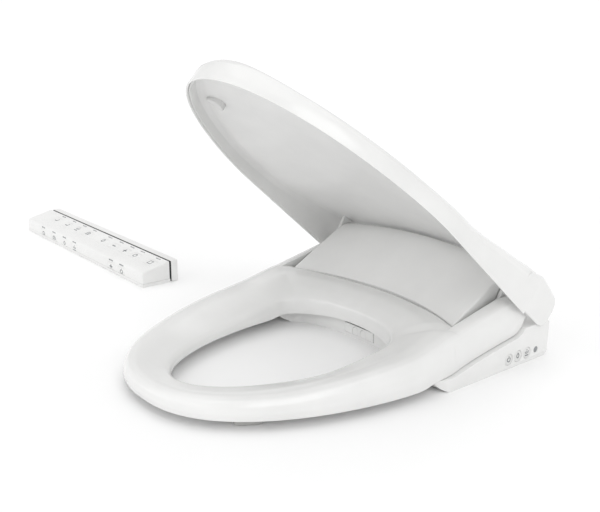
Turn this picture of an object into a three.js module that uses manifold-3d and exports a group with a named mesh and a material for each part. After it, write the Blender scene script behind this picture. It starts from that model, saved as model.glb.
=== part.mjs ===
// Electric bidet seat: heated ring and lid on one hinge line, base unit with wash gear, remote on its holder.
// Millimetres. +Z up, front towards -Y. The origin lies on the resting surface, midway between the two
// mounting bolts.
import * as THREE from "three";
import { mergeVertices } from "three/addons/utils/BufferGeometryUtils.js";
import Module from "manifold-3d";

const wasm = await Module();
wasm.setup();

// ---- driving dimensions -------------------------------------------------------------------------
const gap = 0.4; // between pieces that touch
const skin = 2.6; // moulded wall of the ring and lid
const panelSkin = 2; // wall of the lid's inner panel
const filmGap = 1.4; // under the ring's skin, above its heater film

const hingeY = -30; // hinge line of ring and lid
const hingeZ = 66;

const baseHalf = 194.8; // half width of the base unit
const baseRear = 43;
const baseWall = 3;
const armTipY = -172; // front of the base's two arms
const shoulder = 50; // top of the base behind the ears

const ringHalf = baseHalf - 2.8; // half width of the ring
const ringFront = -470; // front tip
const ringWideY = -190; // where the ring is widest
const openHalf = 107; // half width of the opening
const openFront = ringFront + 50;
const openRear = -131;
const ringFloor = 12.8; // underside of the ring at the front
const earRadius = 26; // rounded end of the ring's hinge ears
const earSlot = 1.4; // room round that end
const earOut = baseHalf - 4.8; // ear, from its outside to the cover side
const earIn = earOut - 22;

const coverHalf = earIn - 8; // half width of the raised cover
const coverFrontY = -73; // cover's front edge at the centre
const coverBow = 42; // how far that edge runs forward at the sides
const coverFrontZ = 65;
const coverGap = 1.6; // between the cover's front edge and the ring
const barrel = 74; // radius of the cover about the hinge line at the centre
const barrelDrop = 13; // less at the sides
const ridgeAngle = 62; // degrees above the rear horizontal

const pinRadius = 6;
const pinClear = 0.35;
const postX = coverHalf - 48; // posts that carry the hinge pins
const postThick = 8;
const damperRadius = pinRadius + 6.5;

const lidHalf = baseHalf + 3.2; // half width of the lid
const lidTilt = 41; // degrees, rim plane above the horizontal
const lidPivotU = hingeY - ringFront + 15.8; // hinge line from the lid's tip, along the rim
const lidPivotH = -12; // and above the rim plane
const lidRear = lidPivotU + 2.2; // end of the lid's middle
const lidCrown = barrel - 3.5; // height of the middle at the rear, above the rim plane
const lidWideU = 256; // from the tip to where the rim is widest
const lidArmIn = coverHalf + 1.5; // lid's hinge arms, between the cover and the ring's ears
const lidArmOut = earIn - 1.4;
const lidRounding = 12; // how far in from the rim its edge is rounded

const nozzleRadius = 5;
const nozzleLength = 112;
const nozzleTilt = 2; // degrees, nose down
const nozzleNoseY = openRear + 8;
const nozzleNoseZ = 11.2;
const nozzlePitch = 16;
const doorHalf = 30;
const doorLow = 4.6;
const doorHigh = 20.8;
const doorY = nozzleNoseY - 0.4; // nozzle door

const plateHalf = 95; // mounting plate
const plateDeep = 50;
const plateThick = 3;
const boltSpacing = 140;
const boltShank = 4;
const boltHead = 8;

const buttonRadius = 7.6; // side panel buttons
const buttonPitch = 19;
const buttonFirstY = -40;
const buttonZ = 13.5;
const lensRadius = 4;
const inletX = 140; // water inlet at the left, cord gland at the right
const inletZ = 22;
const inletRadius = 10.4;
const glandRadius = 8;

const fanRadius = 30;
const fanX = postX - 2 - fanRadius;
const fanY = 8;
const fanFloor = 10;
const fanTall = 24;

const remoteRight = -baseHalf - 195.7; // right end of the remote
const remoteLength = 475;
const remoteFrontY = -250;
const remoteDepth = 53;
const remoteFrontZ = 25.5;
const remoteBackZ = 38;
const remoteWall = 2.2;
const holderGap = 3;
const holderThick = 13;
const keyWide = 24;
const keyDeep = 15;
const keyTall = 12;
const keyThick = 2.4;

// ---- colours ------------------------------------------------------------------------------------
function finish(color, roughness, metalness = 0) {
  return new THREE.MeshStandardMaterial({ color, roughness, metalness });
}
const white = finish(0xf4f4f3, 0.22);
const greyWhite = finish(0xe4e4e3, 0.35);
const rubber = finish(0xb9b9b8, 0.75);
const steel = finish(0xb8bbbf, 0.3, 1);
const brass = finish(0xb98f4a, 0.35, 1);
const nylon = finish(0x9a9da0, 0.5);
const board = finish(0x2f6b45, 0.5);
const dark = finish(0x2b2c2e, 0.5);
const silver = finish(0xc9cbcd, 0.3, 0.6);

// ---- helpers ------------------------------------------------------------------------------------
const rad = THREE.MathUtils.degToRad;
const lerp = THREE.MathUtils.lerp;
const clamp = THREE.MathUtils.clamp;

// Straight-line reading of a short [key, value] list, held at its ends.
function along(list, key) {
  const last = list.length - 1;
  const next = list.findIndex(([k]) => k >= key);
  if (next === 0) return list[0][1];
  if (next < 0) return list[last][1];
  const [k0, v0] = list[next - 1];
  const [k1, v1] = list[next];
  return lerp(v0, v1, (key - k0) / (k1 - k0));
}

function power(value, exponent) {
  return Math.sign(value) * Math.abs(value) ** exponent;
}

function body(geometry) {
  const bare = geometry.clone();
  bare.deleteAttribute("normal");
  bare.deleteAttribute("uv");
  const merged = mergeVertices(bare, 1e-4);
  const mesh = new wasm.Mesh({
    numProp: 3,
    vertProperties: new Float32Array(merged.attributes.position.array),
    triVerts: new Uint32Array(merged.index.array),
  });
  return new wasm.Manifold(mesh);
}

function geometryOf(solid) {
  const mesh = solid.getMesh();
  const geometry = new THREE.BufferGeometry();
  geometry.setAttribute("position", new THREE.BufferAttribute(new Float32Array(mesh.vertProperties), 3));
  geometry.setIndex(new THREE.BufferAttribute(new Uint32Array(mesh.triVerts), 1));
  return geometry;
}

// Closed surface through equal rings of points. A looped one joins its last ring to its first.
function loft(rings, looped = false) {
  const count = rings[0].length;
  const index = [];
  const last = looped ? rings.length : rings.length - 1;
  for (let i = 0; i < last; i++) {
    for (let k = 0; k < count; k++) {
      const a = i * count + k;
      const b = i * count + ((k + 1) % count);
      const c = ((i + 1) % rings.length) * count + k;
      const d = ((i + 1) % rings.length) * count + ((k + 1) % count);
      index.push(a, c, b, b, c, d);
    }
  }
  if (!looped) {
    for (const [start, turn] of [[0, false], [(rings.length - 1) * count, true]]) {
      const flat = capOf(rings[start / count]);
      for (const [a, b, c] of flat) {
        index.push(start + a, start + (turn ? c : b), start + (turn ? b : c));
      }
    }
  }
  const geometry = new THREE.BufferGeometry();
  geometry.setAttribute("position", new THREE.Float32BufferAttribute(rings.flat(2), 3));
  geometry.setIndex(index);
  return outward(geometry);
}

// Triangles over a ring that lies in a plane across X.
function capOf(ring) {
  const flat = ring.map(([, y, z]) => new THREE.Vector2(y, z));
  const area = THREE.ShapeUtils.area(flat);
  const faces = THREE.ShapeUtils.triangulateShape(flat, []);
  return area < 0 ? faces.map(([a, b, c]) => [a, c, b]) : faces;
}

// Turns a closed surface's faces outwards.
function outward(geometry) {
  const p = geometry.attributes.position;
  const index = geometry.index.array;
  const [a, b, c] = [new THREE.Vector3(), new THREE.Vector3(), new THREE.Vector3()];
  let volume = 0;
  for (let i = 0; i < index.length; i += 3) {
    a.fromBufferAttribute(p, index[i]);
    b.fromBufferAttribute(p, index[i + 1]);
    c.fromBufferAttribute(p, index[i + 2]);
    volume += a.dot(b.cross(c));
  }
  if (volume < 0) {
    for (let i = 0; i < index.length; i += 3) {
      [index[i + 1], index[i + 2]] = [index[i + 2], index[i + 1]];
    }
  }
  return geometry;
}

// Closed shell between two equal open grids.
function shell(outer, inner) {
  const rows = outer.length;
  const cols = outer[0].length;
  const size = rows * cols;
  const index = [];
  function quad(a, b, c, d) {
    index.push(a, b, c, a, c, d);
  }
  for (let i = 0; i < rows - 1; i++) {
    for (let k = 0; k < cols - 1; k++) {
      const a = i * cols + k;
      quad(a, a + cols, a + cols + 1, a + 1);
      quad(size + a, size + a + 1, size + a + cols + 1, size + a + cols);
    }
  }
  const edge = [];
  for (let k = 0; k < cols; k++) edge.push(k);
  for (let i = 1; i < rows; i++) edge.push(i * cols + cols - 1);
  for (let k = cols - 2; k >= 0; k--) edge.push((rows - 1) * cols + k);
  for (let i = rows - 2; i > 0; i--) edge.push(i * cols);
  edge.forEach((a, n) => {
    const b = edge[(n + 1) % edge.length];
    quad(a, b, size + b, size + a);
  });
  const geometry = new THREE.BufferGeometry();
  geometry.setAttribute("position", new THREE.Float32BufferAttribute([...outer, ...inner].flat(2), 3));
  geometry.setIndex(index);
  const merged = mergeVertices(geometry, 1e-4);
  const kept = [];
  const all = merged.index.array;
  for (let i = 0; i < all.length; i += 3) {
    const [a, b, c] = [all[i], all[i + 1], all[i + 2]];
    if (a !== b && b !== c && a !== c) kept.push(a, b, c);
  }
  merged.setIndex(kept);
  return outward(merged);
}

// A plan outline raised along Z, or a side outline carried along X.
function raised(points, low, high) {
  const shape = new THREE.Shape(points.map(([x, y]) => new THREE.Vector2(x, y)));
  const geometry = new THREE.ExtrudeGeometry(shape, { depth: high - low, bevelEnabled: false });
  return geometry.translate(0, 0, low);
}

function across(points, left, right) {
  const geometry = raised(points, left, right);
  const turn = new THREE.Matrix4().set(0, 0, 1, 0, 1, 0, 0, 0, 0, 1, 0, 0, 0, 0, 0, 1);
  return geometry.applyMatrix4(turn);
}

function box(low, high) {
  const size = low.map((v, i) => high[i] - v);
  const centre = low.map((v, i) => (high[i] + v) / 2);
  return new THREE.BoxGeometry(...size).translate(...centre);
}

// A round bar along one of the axes, between two places.
function bar(axis, radius, from, to, sides = 20) {
  const length = to[axis] - from[axis];
  const geometry = new THREE.CylinderGeometry(radius, radius, Math.abs(length), sides);
  if (axis === 0) geometry.rotateZ(Math.PI / 2);
  if (axis === 2) geometry.rotateX(Math.PI / 2);
  const middle = from.map((v, i) => (v + to[i]) / 2);
  return geometry.translate(...middle);
}

function arc(cy, cz, radius, from, to, steps) {
  return Array.from({ length: steps + 1 }, (_, i) => {
    const a = rad(lerp(from, to, i / steps));
    return [cy + radius * Math.cos(a), cz + radius * Math.sin(a)];
  });
}

function roundedRectangle(width, depth, radius) {
  const points = [];
  for (const [sx, sy, start] of [[1, 1, 0], [-1, 1, 90], [-1, -1, 180], [1, -1, 270]]) {
    for (let i = 0; i <= 2; i++) {
      const a = rad(start + i * 45);
      points.push([
        sx * (width / 2 - radius) + radius * Math.cos(a),
        sy * (depth / 2 - radius) + radius * Math.sin(a),
      ]);
    }
  }
  return points;
}

const model = new THREE.Group();

function add(name, geometry, material, parent = model) {
  const mesh = new THREE.Mesh(geometry, material);
  mesh.name = name;
  parent.add(mesh);
  return mesh;
}

// ---- shared outlines ----------------------------------------------------------------------------
// Top edge of the base's arms, and the underside of the ring, which follows it.
const armLine = [
  [armTipY - 3, 16.5],
  [armTipY + 27, 18],
  [-99, 28],
  [-55, Math.min(35, hingeZ - earRadius - earSlot - 1.5)],
  [hingeY, hingeZ - earRadius - earSlot],
];
const underLine = [[armTipY - 24, ringFloor], [armTipY - 4, 17.5], ...armLine.slice(1).map(([y, z]) => [y, z + 1])];
const railLine = [[ringFront, 35], [ringFront + 110, 40], [-200, 55], [-125, 72],
  [hingeY - 10, hingeZ + earRadius - 1.5]];

function coverFront(x) {
  return coverFrontY - coverBow * (x / coverHalf) ** 2;
}

function ringUnder(y) {
  return along(underLine, y);
}

// Outer and inner edge of the ring, as matching points that go once round it.
function ringEdges() {
  const edges = [];
  const frontSteps = 24;
  for (let i = 0; i <= frontSteps; i++) {
    const a = rad(lerp(90, -90, i / frontSteps));
    edges.push({
      outer: [ringHalf * power(Math.sin(a), 2 / 2.4),
        ringWideY - (ringWideY - ringFront) * power(Math.cos(a), 2 / 1.75)],
      inner: [openHalf * power(Math.sin(a), 2 / 2.05),
        ringWideY - (ringWideY - openFront) * power(Math.cos(a), 2 / 1.9)],
    });
  }
  const cornerY = coverFront(earOut) + 8;
  const rear = [];
  const sideSteps = 3;
  for (let i = 1; i <= sideSteps; i++) {
    rear.push([-lerp(ringHalf, earOut, i / sideSteps), lerp(ringWideY, cornerY, i / sideSteps)]);
  }
  const rearSteps = 14;
  for (let i = 0; i <= rearSteps; i++) {
    const x = lerp(-coverHalf - coverGap, coverHalf + coverGap, i / rearSteps);
    rear.push([x, coverFront(clamp(x, -coverHalf, coverHalf)) - coverGap]);
  }
  for (let i = sideSteps; i >= 1; i--) {
    rear.push([lerp(ringHalf, earOut, i / sideSteps), lerp(ringWideY, cornerY, i / sideSteps)]);
  }
  const deep = coverFrontY - ringWideY;
  for (const [x, y] of rear) {
    const a = Math.atan2(x / earOut, (y - ringWideY) / deep);
    edges.push({
      outer: [x, y],
      inner: [openHalf * power(Math.sin(a), 2 / 2.2),
        ringWideY + (openRear - ringWideY) * power(Math.cos(a), 2 / 2.2)],
    });
  }
  return edges;
}

// Crest and lip heights for one pair of edge points.
function ringHeights({ outer, inner }) {
  const [x, y] = outer;
  const side = clamp(Math.abs(x) / earOut, 0, 1);
  const back = clamp((y - ringWideY) / 80, 0, 1);
  const rail = along(railLine, y);
  const crest = lerp(rail, coverFrontZ - 1 + (rail - coverFrontZ + 1) * side ** 3, back);
  const lip = 27 + 20 * THREE.MathUtils.smoothstep(inner[1], -300, openRear);
  return { crest, lip: Math.min(lip, crest - 6), low: ringUnder(y), lowIn: ringUnder(inner[1]) };
}

// A closed section [inset, z] placed between the two edges of one station.
function ringSection(edge, profile) {
  const [ox, oy] = edge.outer;
  const [ix, iy] = edge.inner;
  const wide = Math.hypot(ix - ox, iy - oy);
  return profile.map(([inset, z]) => {
    const f = inset / wide;
    return [lerp(ox, ix, f), lerp(oy, iy, f), z];
  });
}

const edges = ringEdges();
const widths = edges.map(({ outer, inner }) => Math.hypot(outer[0] - inner[0], outer[1] - inner[1]));

// The skin's outer side from the outer bottom edge over the crest to the inner bottom edge, inset by t.
function ringSkin(n, t) {
  const { crest, lip, low, lowIn } = ringHeights(edges[n]);
  const w = widths[n];
  const tall = crest - low;
  return [
    [1.5 + t, low],
    [t, low + tall * 0.3],
    [1.5 + t, low + tall * 0.68 - t * 0.5],
    [6 + t * 0.6, crest - 2.2 - t],
    [Math.min(16, w * 0.26), crest - t],
    [w * 0.42, lerp(crest, lip, 0.16) - t],
    [w * 0.7, lerp(crest, lip, 0.6) - t],
    [w - 7, lip + 0.8 - t],
    [w - 1.6 - t * 0.8, lip - 3.5 - t * 0.6],
    [w - t, lerp(lip - 4, lowIn + 2, 0.6)],
    [w - 1 - t, lowIn + 2],
  ];
}

// ---- heated ring --------------------------------------------------------------------------------
function earOutline(grow) {
  return [
    [-132 - grow, ringUnder(-132) + 0.6 - grow],
    [-99, ringUnder(-99) - grow],
    [-55, ringUnder(-55) - grow],
    ...arc(hingeY, hingeZ, earRadius + grow, -90, 98, 14),
    [-125, along(railLine, -125) - 2 + grow],
    [-134 - grow, along(railLine, -134) - 4 + grow],
  ];
}

function makeRing() {
  const top = edges.map((edge, n) => ringSection(edge, [...ringSkin(n, 0), ...ringSkin(n, skin).reverse()]));
  let upper = body(loft(top, true));
  const floor = edges.map((edge, n) => {
    const { low, lowIn } = ringHeights(edge);
    const w = widths[n];
    const [from, to] = [1.5 + skin + gap, w - 1 - skin - gap];
    return ringSection(edge, [[from, low], [to, lowIn + 2], [to, lowIn + 4.4], [from, low + 2.4]]);
  });
  let lower = body(loft(floor, true));
  const film = edges.map((edge, n) => {
    const { crest, lip } = ringHeights(edge);
    const w = widths[n];
    const under = skin + filmGap;
    const [a, b, c] = [
      [Math.min(18, w * 0.3), crest - under - 0.6],
      [w * 0.42, lerp(crest, lip, 0.16) - under],
      [w * 0.7, lerp(crest, lip, 0.6) - under],
    ];
    return ringSection(edge, [a, b, c, [c[0], c[1] - 0.8], [b[0], b[1] - 0.8], [a[0], a[1] - 0.8]]);
  });
  let heater = body(loft(film, true));
  for (const side of [-1, 1]) {
    const span = side > 0 ? [earIn, earOut] : [-earOut, -earIn];
    const wide = side > 0 ? [earIn - gap, earOut + gap] : [-earOut - gap, -earIn + gap];
    upper = upper.add(body(across(earOutline(0), ...span)));
    const grown = body(across(earOutline(gap), ...wide));
    lower = lower.subtract(grown);
    heater = heater.subtract(grown);
    const bore = bar(0, pinRadius + pinClear, [side * (earIn - 5), hingeY, hingeZ],
      [side * (earOut + 5), hingeY, hingeZ]);
    upper = upper.subtract(body(bore));
  }
  add("seat_ring_upper", geometryOf(upper), white);
  add("seat_ring_lower", geometryOf(lower), greyWhite);
  add("seat_heater_film", geometryOf(heater), silver);
}

function makeBumpers() {
  const stations = [7, 17, 0, 24];
  stations.forEach((n, i) => {
    const { outer, inner } = edges[n];
    const middle = [lerp(outer[0], inner[0], 0.36), lerp(outer[1], inner[1], 0.36)];
    const pad = raised(roundedRectangle(34, 16, 6), 0, ringFloor - gap);
    const turn = Math.atan2(outer[1] - inner[1], outer[0] - inner[0]) + Math.PI / 2;
    pad.rotateZ(turn).translate(middle[0], middle[1], 0);
    add(`seat_bumper_${i + 1}`, pad, rubber);
  });
}

// ---- base unit ----------------------------------------------------------------------------------
// Side outline of the lower case, grown outwards at the top by grow.
function caseSide(grow = 0) {
  return [
    [armTipY + 18, 0],
    [armTipY + 7, 6],
    [armTipY - 3, 15],
    [armTipY - 1, 16.6 + grow],
    ...armLine.slice(1).map(([y, z]) => [y, z + grow]),
    ...arc(hingeY, hingeZ, earRadius + earSlot - grow, -80, -36, 5),
    [baseRear - 3, shoulder + grow],
    [baseRear, shoulder - 3 + grow],
    [baseRear, 6],
    [baseRear - 6, 0],
  ];
}

// Plan of the lower case, set in by t: arms at the sides, a curved front wall behind the opening.
function casePlan(t) {
  const half = baseHalf - t;
  const right = [
    [half, armTipY + 22 + t],
    [half - 8, armTipY + t],
    [half - 22, armTipY - 6 + t],
    [openHalf + 22 + t, armTipY + t],
  ];
  const steps = 7;
  for (let i = 1; i <= steps; i++) {
    const a = rad(90 - (90 * i) / steps);
    right.push([
      (openHalf + 14 + t) * power(Math.sin(a), 0.9),
      armTipY + t + (openRear + 8 - armTipY) * power(Math.cos(a), 0.9),
    ]);
  }
  const left = right.slice(0, -1).reverse().map(([x, y]) => [-x, y]);
  return [[half, baseRear - t], ...right, ...left, [-half, baseRear - t]];
}

function coverRadius(x) {
  return barrel - barrelDrop * (x / coverHalf) ** 2;
}

// Side section of the cover at one place across it, set in by t, down to the height bottom.
function coverSection(x, t, bottom) {
  const r = coverRadius(x) - t;
  const front = [coverFront(x) + t * 1.2, coverFrontZ + 2 * (x / coverHalf) ** 2 - t * 1.3];
  const ridge = [hingeY + r * Math.cos(rad(ridgeAngle)), hingeZ + r * Math.sin(rad(ridgeAngle))];
  const knee = [hingeY + r * Math.cos(rad(ridgeAngle + 26)), 0];
  const slope = (ridge[1] + 3 - front[1]) / (ridge[0] - 9 - front[0]);
  knee[1] = front[1] + slope * (knee[0] - front[0]);
  const shoulderCurve = [0.25, 0.5, 0.75].map((f) => {
    const top = [ridge[0] - 9, ridge[1] + 2.4 - t * 0.2];
    return [
      (1 - f) ** 2 * knee[0] + 2 * f * (1 - f) * top[0] + f ** 2 * ridge[0],
      (1 - f) ** 2 * knee[1] + 2 * f * (1 - f) * top[1] + f ** 2 * ridge[1],
    ];
  });
  return [
    [front[0], bottom],
    front,
    [lerp(front[0], knee[0], 0.5), lerp(front[1], knee[1], 0.5)],
    knee,
    ...shoulderCurve,
    ...arc(hingeY, hingeZ, r, ridgeAngle, 0, 8),
    [hingeY + r, bottom],
  ].map(([y, z]) => [x, y, z]);
}

function coverBody(t, bottom) {
  const half = coverHalf - t;
  const steps = 16;
  const rings = Array.from({ length: steps + 1 }, (_, i) => coverSection(lerp(-half, half, i / steps), t, bottom));
  return body(loft(rings));
}

function makeBase() {
  const envelope = body(across(caseSide(), -baseHalf - 1, baseHalf + 1));
  let lowerCase = body(raised(casePlan(0), -1, 90)).intersect(envelope);
  const hollowSide = [
    [armTipY + 20, baseWall],
    ...armLine.slice(1).map(([y, z]) => [y, z - baseWall]),
    [hingeY + 12, hingeZ - earRadius - earSlot - baseWall],
    [baseRear - baseWall - 2, shoulder - baseWall],
    [baseRear - baseWall, baseWall + 3],
    [baseRear - baseWall - 3, baseWall],
  ];
  const hollow = body(raised(casePlan(baseWall), -1, 90))
    .intersect(body(across(hollowSide, -baseHalf, baseHalf)));
  lowerCase = lowerCase.subtract(hollow);
  // the tray is open upwards, under the cover
  lowerCase = lowerCase.subtract(coverBody(baseWall + 3, 26));
  lowerCase = lowerCase.subtract(body(box([-doorHalf, -140, doorLow], [doorHalf, -100, doorHigh])));
  // recess for the mounting plate, with room for its bolt heads
  lowerCase = lowerCase.subtract(body(box([-plateHalf - gap, -plateDeep / 2 - gap, -1],
    [plateHalf + gap, plateDeep / 2 + gap, plateThick + gap])));
  for (const side of [-1, 1]) {
    const x = (side * boltSpacing) / 2;
    lowerCase = lowerCase.subtract(body(bar(2, boltHead + 1, [x, 0, 0], [x, 0, 9])));
  }
  for (let i = 0; i < 4; i++) {
    const [y, r] = [buttonFirstY + i * buttonPitch, i < 3 ? buttonRadius : lensRadius];
    const hole = bar(0, r + 0.35, [baseHalf - 9, y, buttonZ], [baseHalf + 4, y, buttonZ]);
    lowerCase = lowerCase.subtract(body(hole));
  }
  lowerCase = lowerCase.subtract(body(bar(1, inletRadius + 0.4, [-inletX, 20, inletZ], [-inletX, 60, inletZ])));
  lowerCase = lowerCase.subtract(body(bar(1, glandRadius + 0.4, [inletX, 20, inletZ], [inletX, 60, inletZ])));
  add("base_lower_case", geometryOf(lowerCase), white);

  let cover = coverBody(0, 20)
    .subtract(coverBody(baseWall, 10))
    .subtract(body(across(caseSide(gap), -baseHalf - 1, baseHalf + 1)))
    .subtract(body(box([-baseHalf, 0, 0], [baseHalf, baseRear + 20, shoulder + gap])));
  for (const side of [-1, 1]) {
    const pin = bar(0, pinRadius + pinClear, [side * (coverHalf - 12), hingeY, hingeZ],
      [side * (coverHalf + 4), hingeY, hingeZ]);
    cover = cover.subtract(body(pin));
  }
  add("base_top_cover", geometryOf(cover), white);
}

function makeMounting() {
  let plate = body(raised(roundedRectangle(2 * plateHalf, plateDeep, 6), 0, plateThick));
  for (const side of [-1, 1]) {
    const x = (side * boltSpacing) / 2;
    plate = plate.subtract(body(bar(2, boltShank + 0.3, [x, 0, -1], [x, 0, plateThick + 1])));
    const shank = body(bar(2, boltShank, [x, 0, 0], [x, 0, plateThick + 2]));
    const head = body(bar(2, boltHead, [x, 0, plateThick + 0.35], [x, 0, 8.4], 6));
    add(side < 0 ? "mounting_bolt_left" : "mounting_bolt_right", geometryOf(shank.add(head)), steel);
  }
  add("mounting_plate", geometryOf(plate), nylon);
}

// ---- hinge --------------------------------------------------------------------------------------
function makeHinges() {
  for (const side of [-1, 1]) {
    const word = side < 0 ? "left" : "right";
    function at(x) {
      return [side * x, hingeY, hingeZ];
    }
    add(`hinge_pin_${word}`, bar(0, pinRadius, at(postX + 1), at(earOut - 1)), steel);
    const bore = body(bar(0, pinRadius + pinClear, at(postX - 5), at(coverHalf)));
    const damper = body(bar(0, damperRadius, at(postX + postThick + gap), at(coverHalf - baseWall - 1)));
    add(side < 0 ? "lid_damper" : "seat_damper", geometryOf(damper.subtract(bore)), nylon);
    const foot = [
      [hingeY - 22, baseWall + gap],
      [hingeY + 22, baseWall + gap],
      ...arc(hingeY, hingeZ, 14, -10, 190, 8),
    ];
    const [from, to] = [side * postX, side * (postX + postThick)];
    const post = body(across(foot, Math.min(from, to), Math.max(from, to)));
    add(`hinge_post_${word}`, geometryOf(post.subtract(bore)), nylon);
  }
}

// ---- wash gear, heater and air ------------------------------------------------------------------
function makeWashGear() {
  const slope = Math.tan(rad(nozzleTilt));
  const guideHalf = nozzlePitch / 2 + nozzleRadius + 11;
  let guide = body(box([-guideHalf, nozzleNoseY + 12, 4], [guideHalf, nozzleNoseY + 48, nozzleNoseZ + nozzleRadius + 4.8]));
  for (const side of [-1, 1]) {
    const x = (side * nozzlePitch) / 2;
    const turn = new THREE.Group();
    turn.position.set(x, nozzleNoseY, nozzleNoseZ);
    turn.rotation.x = rad(nozzleTilt);
    model.add(turn);
    const tube = new THREE.LatheGeometry([
      new THREE.Vector2(0, 0),
      new THREE.Vector2(nozzleRadius - 1.6, 0),
      new THREE.Vector2(nozzleRadius - 0.5, 0.6),
      new THREE.Vector2(nozzleRadius, 1.8),
      new THREE.Vector2(nozzleRadius, nozzleLength),
      new THREE.Vector2(0, nozzleLength),
    ], 20);
    add(side < 0 ? "rear_wash_nozzle" : "front_wash_nozzle", tube, greyWhite, turn);
    const bore = new THREE.CylinderGeometry(nozzleRadius + 0.4, nozzleRadius + 0.4, 80, 20);
    bore.translate(0, 30, 0).rotateX(rad(nozzleTilt)).translate(x, nozzleNoseY, nozzleNoseZ);
    guide = guide.subtract(body(bore));
  }
  add("nozzle_guide", geometryOf(guide), nylon);
  let door = body(box([-doorHalf + 0.6, doorY - 1.2, doorLow + 0.6], [doorHalf - 0.6, doorY + 1.2, doorHigh - 1.6]));
  door = door.add(body(bar(0, 1.4, [-doorHalf + 0.6, doorY, doorHigh - 2], [doorHalf - 0.6, doorY, doorHigh - 2], 16)));
  for (const side of [-1, 1]) {
    const x = (side * nozzlePitch) / 2;
    const r = nozzleRadius + 0.7; // room for the nozzle's nose
    door = door.subtract(body(bar(1, r, [x, doorY - 5, nozzleNoseZ], [x, doorY + 5, nozzleNoseZ], 20)));
    door = door.subtract(body(box([x - r, doorY - 5, 0], [x + r, doorY + 5, nozzleNoseZ])));
  }
  add("nozzle_door", geometryOf(door), white);
  const driveZ = nozzleNoseZ + 30 * slope;
  add("nozzle_drive_motor", bar(0, 10, [28, -60, driveZ + 6], [48, -60, driveZ + 6]), dark);
  const tank = { left: -(postX - 8), right: -20, front: -14, low: fanFloor, high: 62 };
  const tankRear = hingeY + coverRadius(tank.left) - baseWall - 6;
  const tankShape = roundedRectangle(tank.right - tank.left, tankRear - tank.front, 8);
  const tankBody = raised(tankShape, tank.low, tank.high);
  tankBody.translate((tank.left + tank.right) / 2, (tank.front + tankRear) / 2, 0);
  add("heater_tank", tankBody, greyWhite);
  add("water_valve", bar(2, 13, [-62, -52, 6], [-62, -52, 34]), nylon);
  const boardLeft = -(postX + postThick + 30);
  add("control_board", box([boardLeft, -40, 6], [boardLeft + 26, 28, 7.6]), board);
  const inlet = new THREE.LatheGeometry([
    [5.5, 0], [inletRadius, 0], [inletRadius, 18], [inletRadius - 1.2, 20], [5.5, 20],
  ].map(([r, y]) => new THREE.Vector2(r, y)).concat(new THREE.Vector2(5.5, 0)), 24);
  add("water_inlet_fitting", inlet.translate(-inletX, baseRear - 10, inletZ), brass);
  const gland = new THREE.LatheGeometry([
    [3.6, 0], [glandRadius, 0], [glandRadius, 8], [glandRadius - 2, 16], [3.6, 16],
  ].map(([r, y]) => new THREE.Vector2(r, y)).concat(new THREE.Vector2(3.6, 0)), 20);
  add("cord_gland", gland.translate(inletX, baseRear - 8, inletZ), rubber);
}

function makeAirUnit() {
  const [x, y, low, high] = [fanX, fanY, fanFloor, fanFloor + fanTall];
  const wall = 2;
  let housing = body(bar(2, fanRadius, [x, y, low], [x, y, high], 28));
  housing = housing.add(body(box([x - fanRadius, y - 50, low], [x - 4, y, high])));
  housing = housing.subtract(body(bar(2, fanRadius - 3, [x, y, low + wall], [x, y, high + 9], 28)));
  housing = housing.subtract(body(box([x - fanRadius + 2.5, y - 60, low + 2.5], [x - 7, y - 4, high - 2.5])));
  add("fan_housing", geometryOf(housing), nylon);
  const [from, to] = [low + 5, high - 4];
  const tip = fanRadius - 6.4;
  let wheel = body(bar(2, 9, [x, y, from], [x, y, to])).add(body(bar(2, tip, [x, y, from], [x, y, from + 1.6], 24)));
  const blades = 12;
  for (let i = 0; i < blades; i++) {
    const blade = box([17, -0.8, from], [tip - 0.4, 0.8, to]);
    blade.rotateZ((i * 2 * Math.PI) / blades).translate(x, y, 0);
    wheel = wheel.add(body(blade));
  }
  add("fan_impeller", geometryOf(wheel), dark);
  add("fan_motor", bar(2, 12, [x, y, to + 1], [x, y, to + 18]), dark);
  const filter = box([x - fanRadius + 1, y - 76, low + 1], [x - 6, y - 51, high - 3]);
  add("deodoriser_filter", filter, dark);
}

function makeSidePanel() {
  for (let i = 0; i < 4; i++) {
    const y = buttonFirstY + i * buttonPitch;
    const r = i < 3 ? buttonRadius : lensRadius;
    const cap = bar(0, r, [baseHalf - 6, y, buttonZ], [baseHalf - 0.1, y, buttonZ]);
    add(i < 3 ? `side_button_${i + 1}` : "side_indicator_lens", cap, i < 3 ? greyWhite : dark);
  }
}

// ---- lid ----------------------------------------------------------------------------------------
const lidEdge = [
  [0, 33],
  [5, 31],
  [19, 28.5],
  [42, 26.5],
  [100, 26],
  [lidPivotU - 250, 26.5],
  [lidPivotU - 156, 31],
  [lidPivotU - 120, 37],
  [lidPivotU - 86, 43.5],
  [lidPivotU - 46, 50],
  [lidPivotU - 16, 56],
  [lidRear, 57],
];
const lidMiddle = [[0, 33], [60, 38], [150, 48], [300, 58], [lidRear, lidCrown]];
// From rim distance u and height h to the model's frame.
function lidPlace(x, u, h) {
  const [c, s] = [Math.cos(rad(lidTilt)), Math.sin(rad(lidTilt))];
  const [du, dh] = [u - lidPivotU, h - lidPivotH];
  return [x, hingeY + du * c + dh * s, hingeZ - du * s + dh * c];
}

function lidOutline() {
  const points = [];
  const straight = 8;
  for (let i = 0; i < straight; i++) points.push([lidHalf, lerp(lidRear, lidWideU, i / straight)]);
  const turns = 22;
  for (let i = 0; i <= turns; i++) {
    const a = rad(lerp(90, -90, i / turns));
    points.push([lidHalf * power(Math.sin(a), 2 / 2.08), lidWideU - lidWideU * power(Math.cos(a), 2 / 1.62)]);
  }
  for (let i = straight - 1; i >= 0; i--) points.push([-lidHalf, lerp(lidRear, lidWideU, i / straight)]);
  return points;
}

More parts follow.
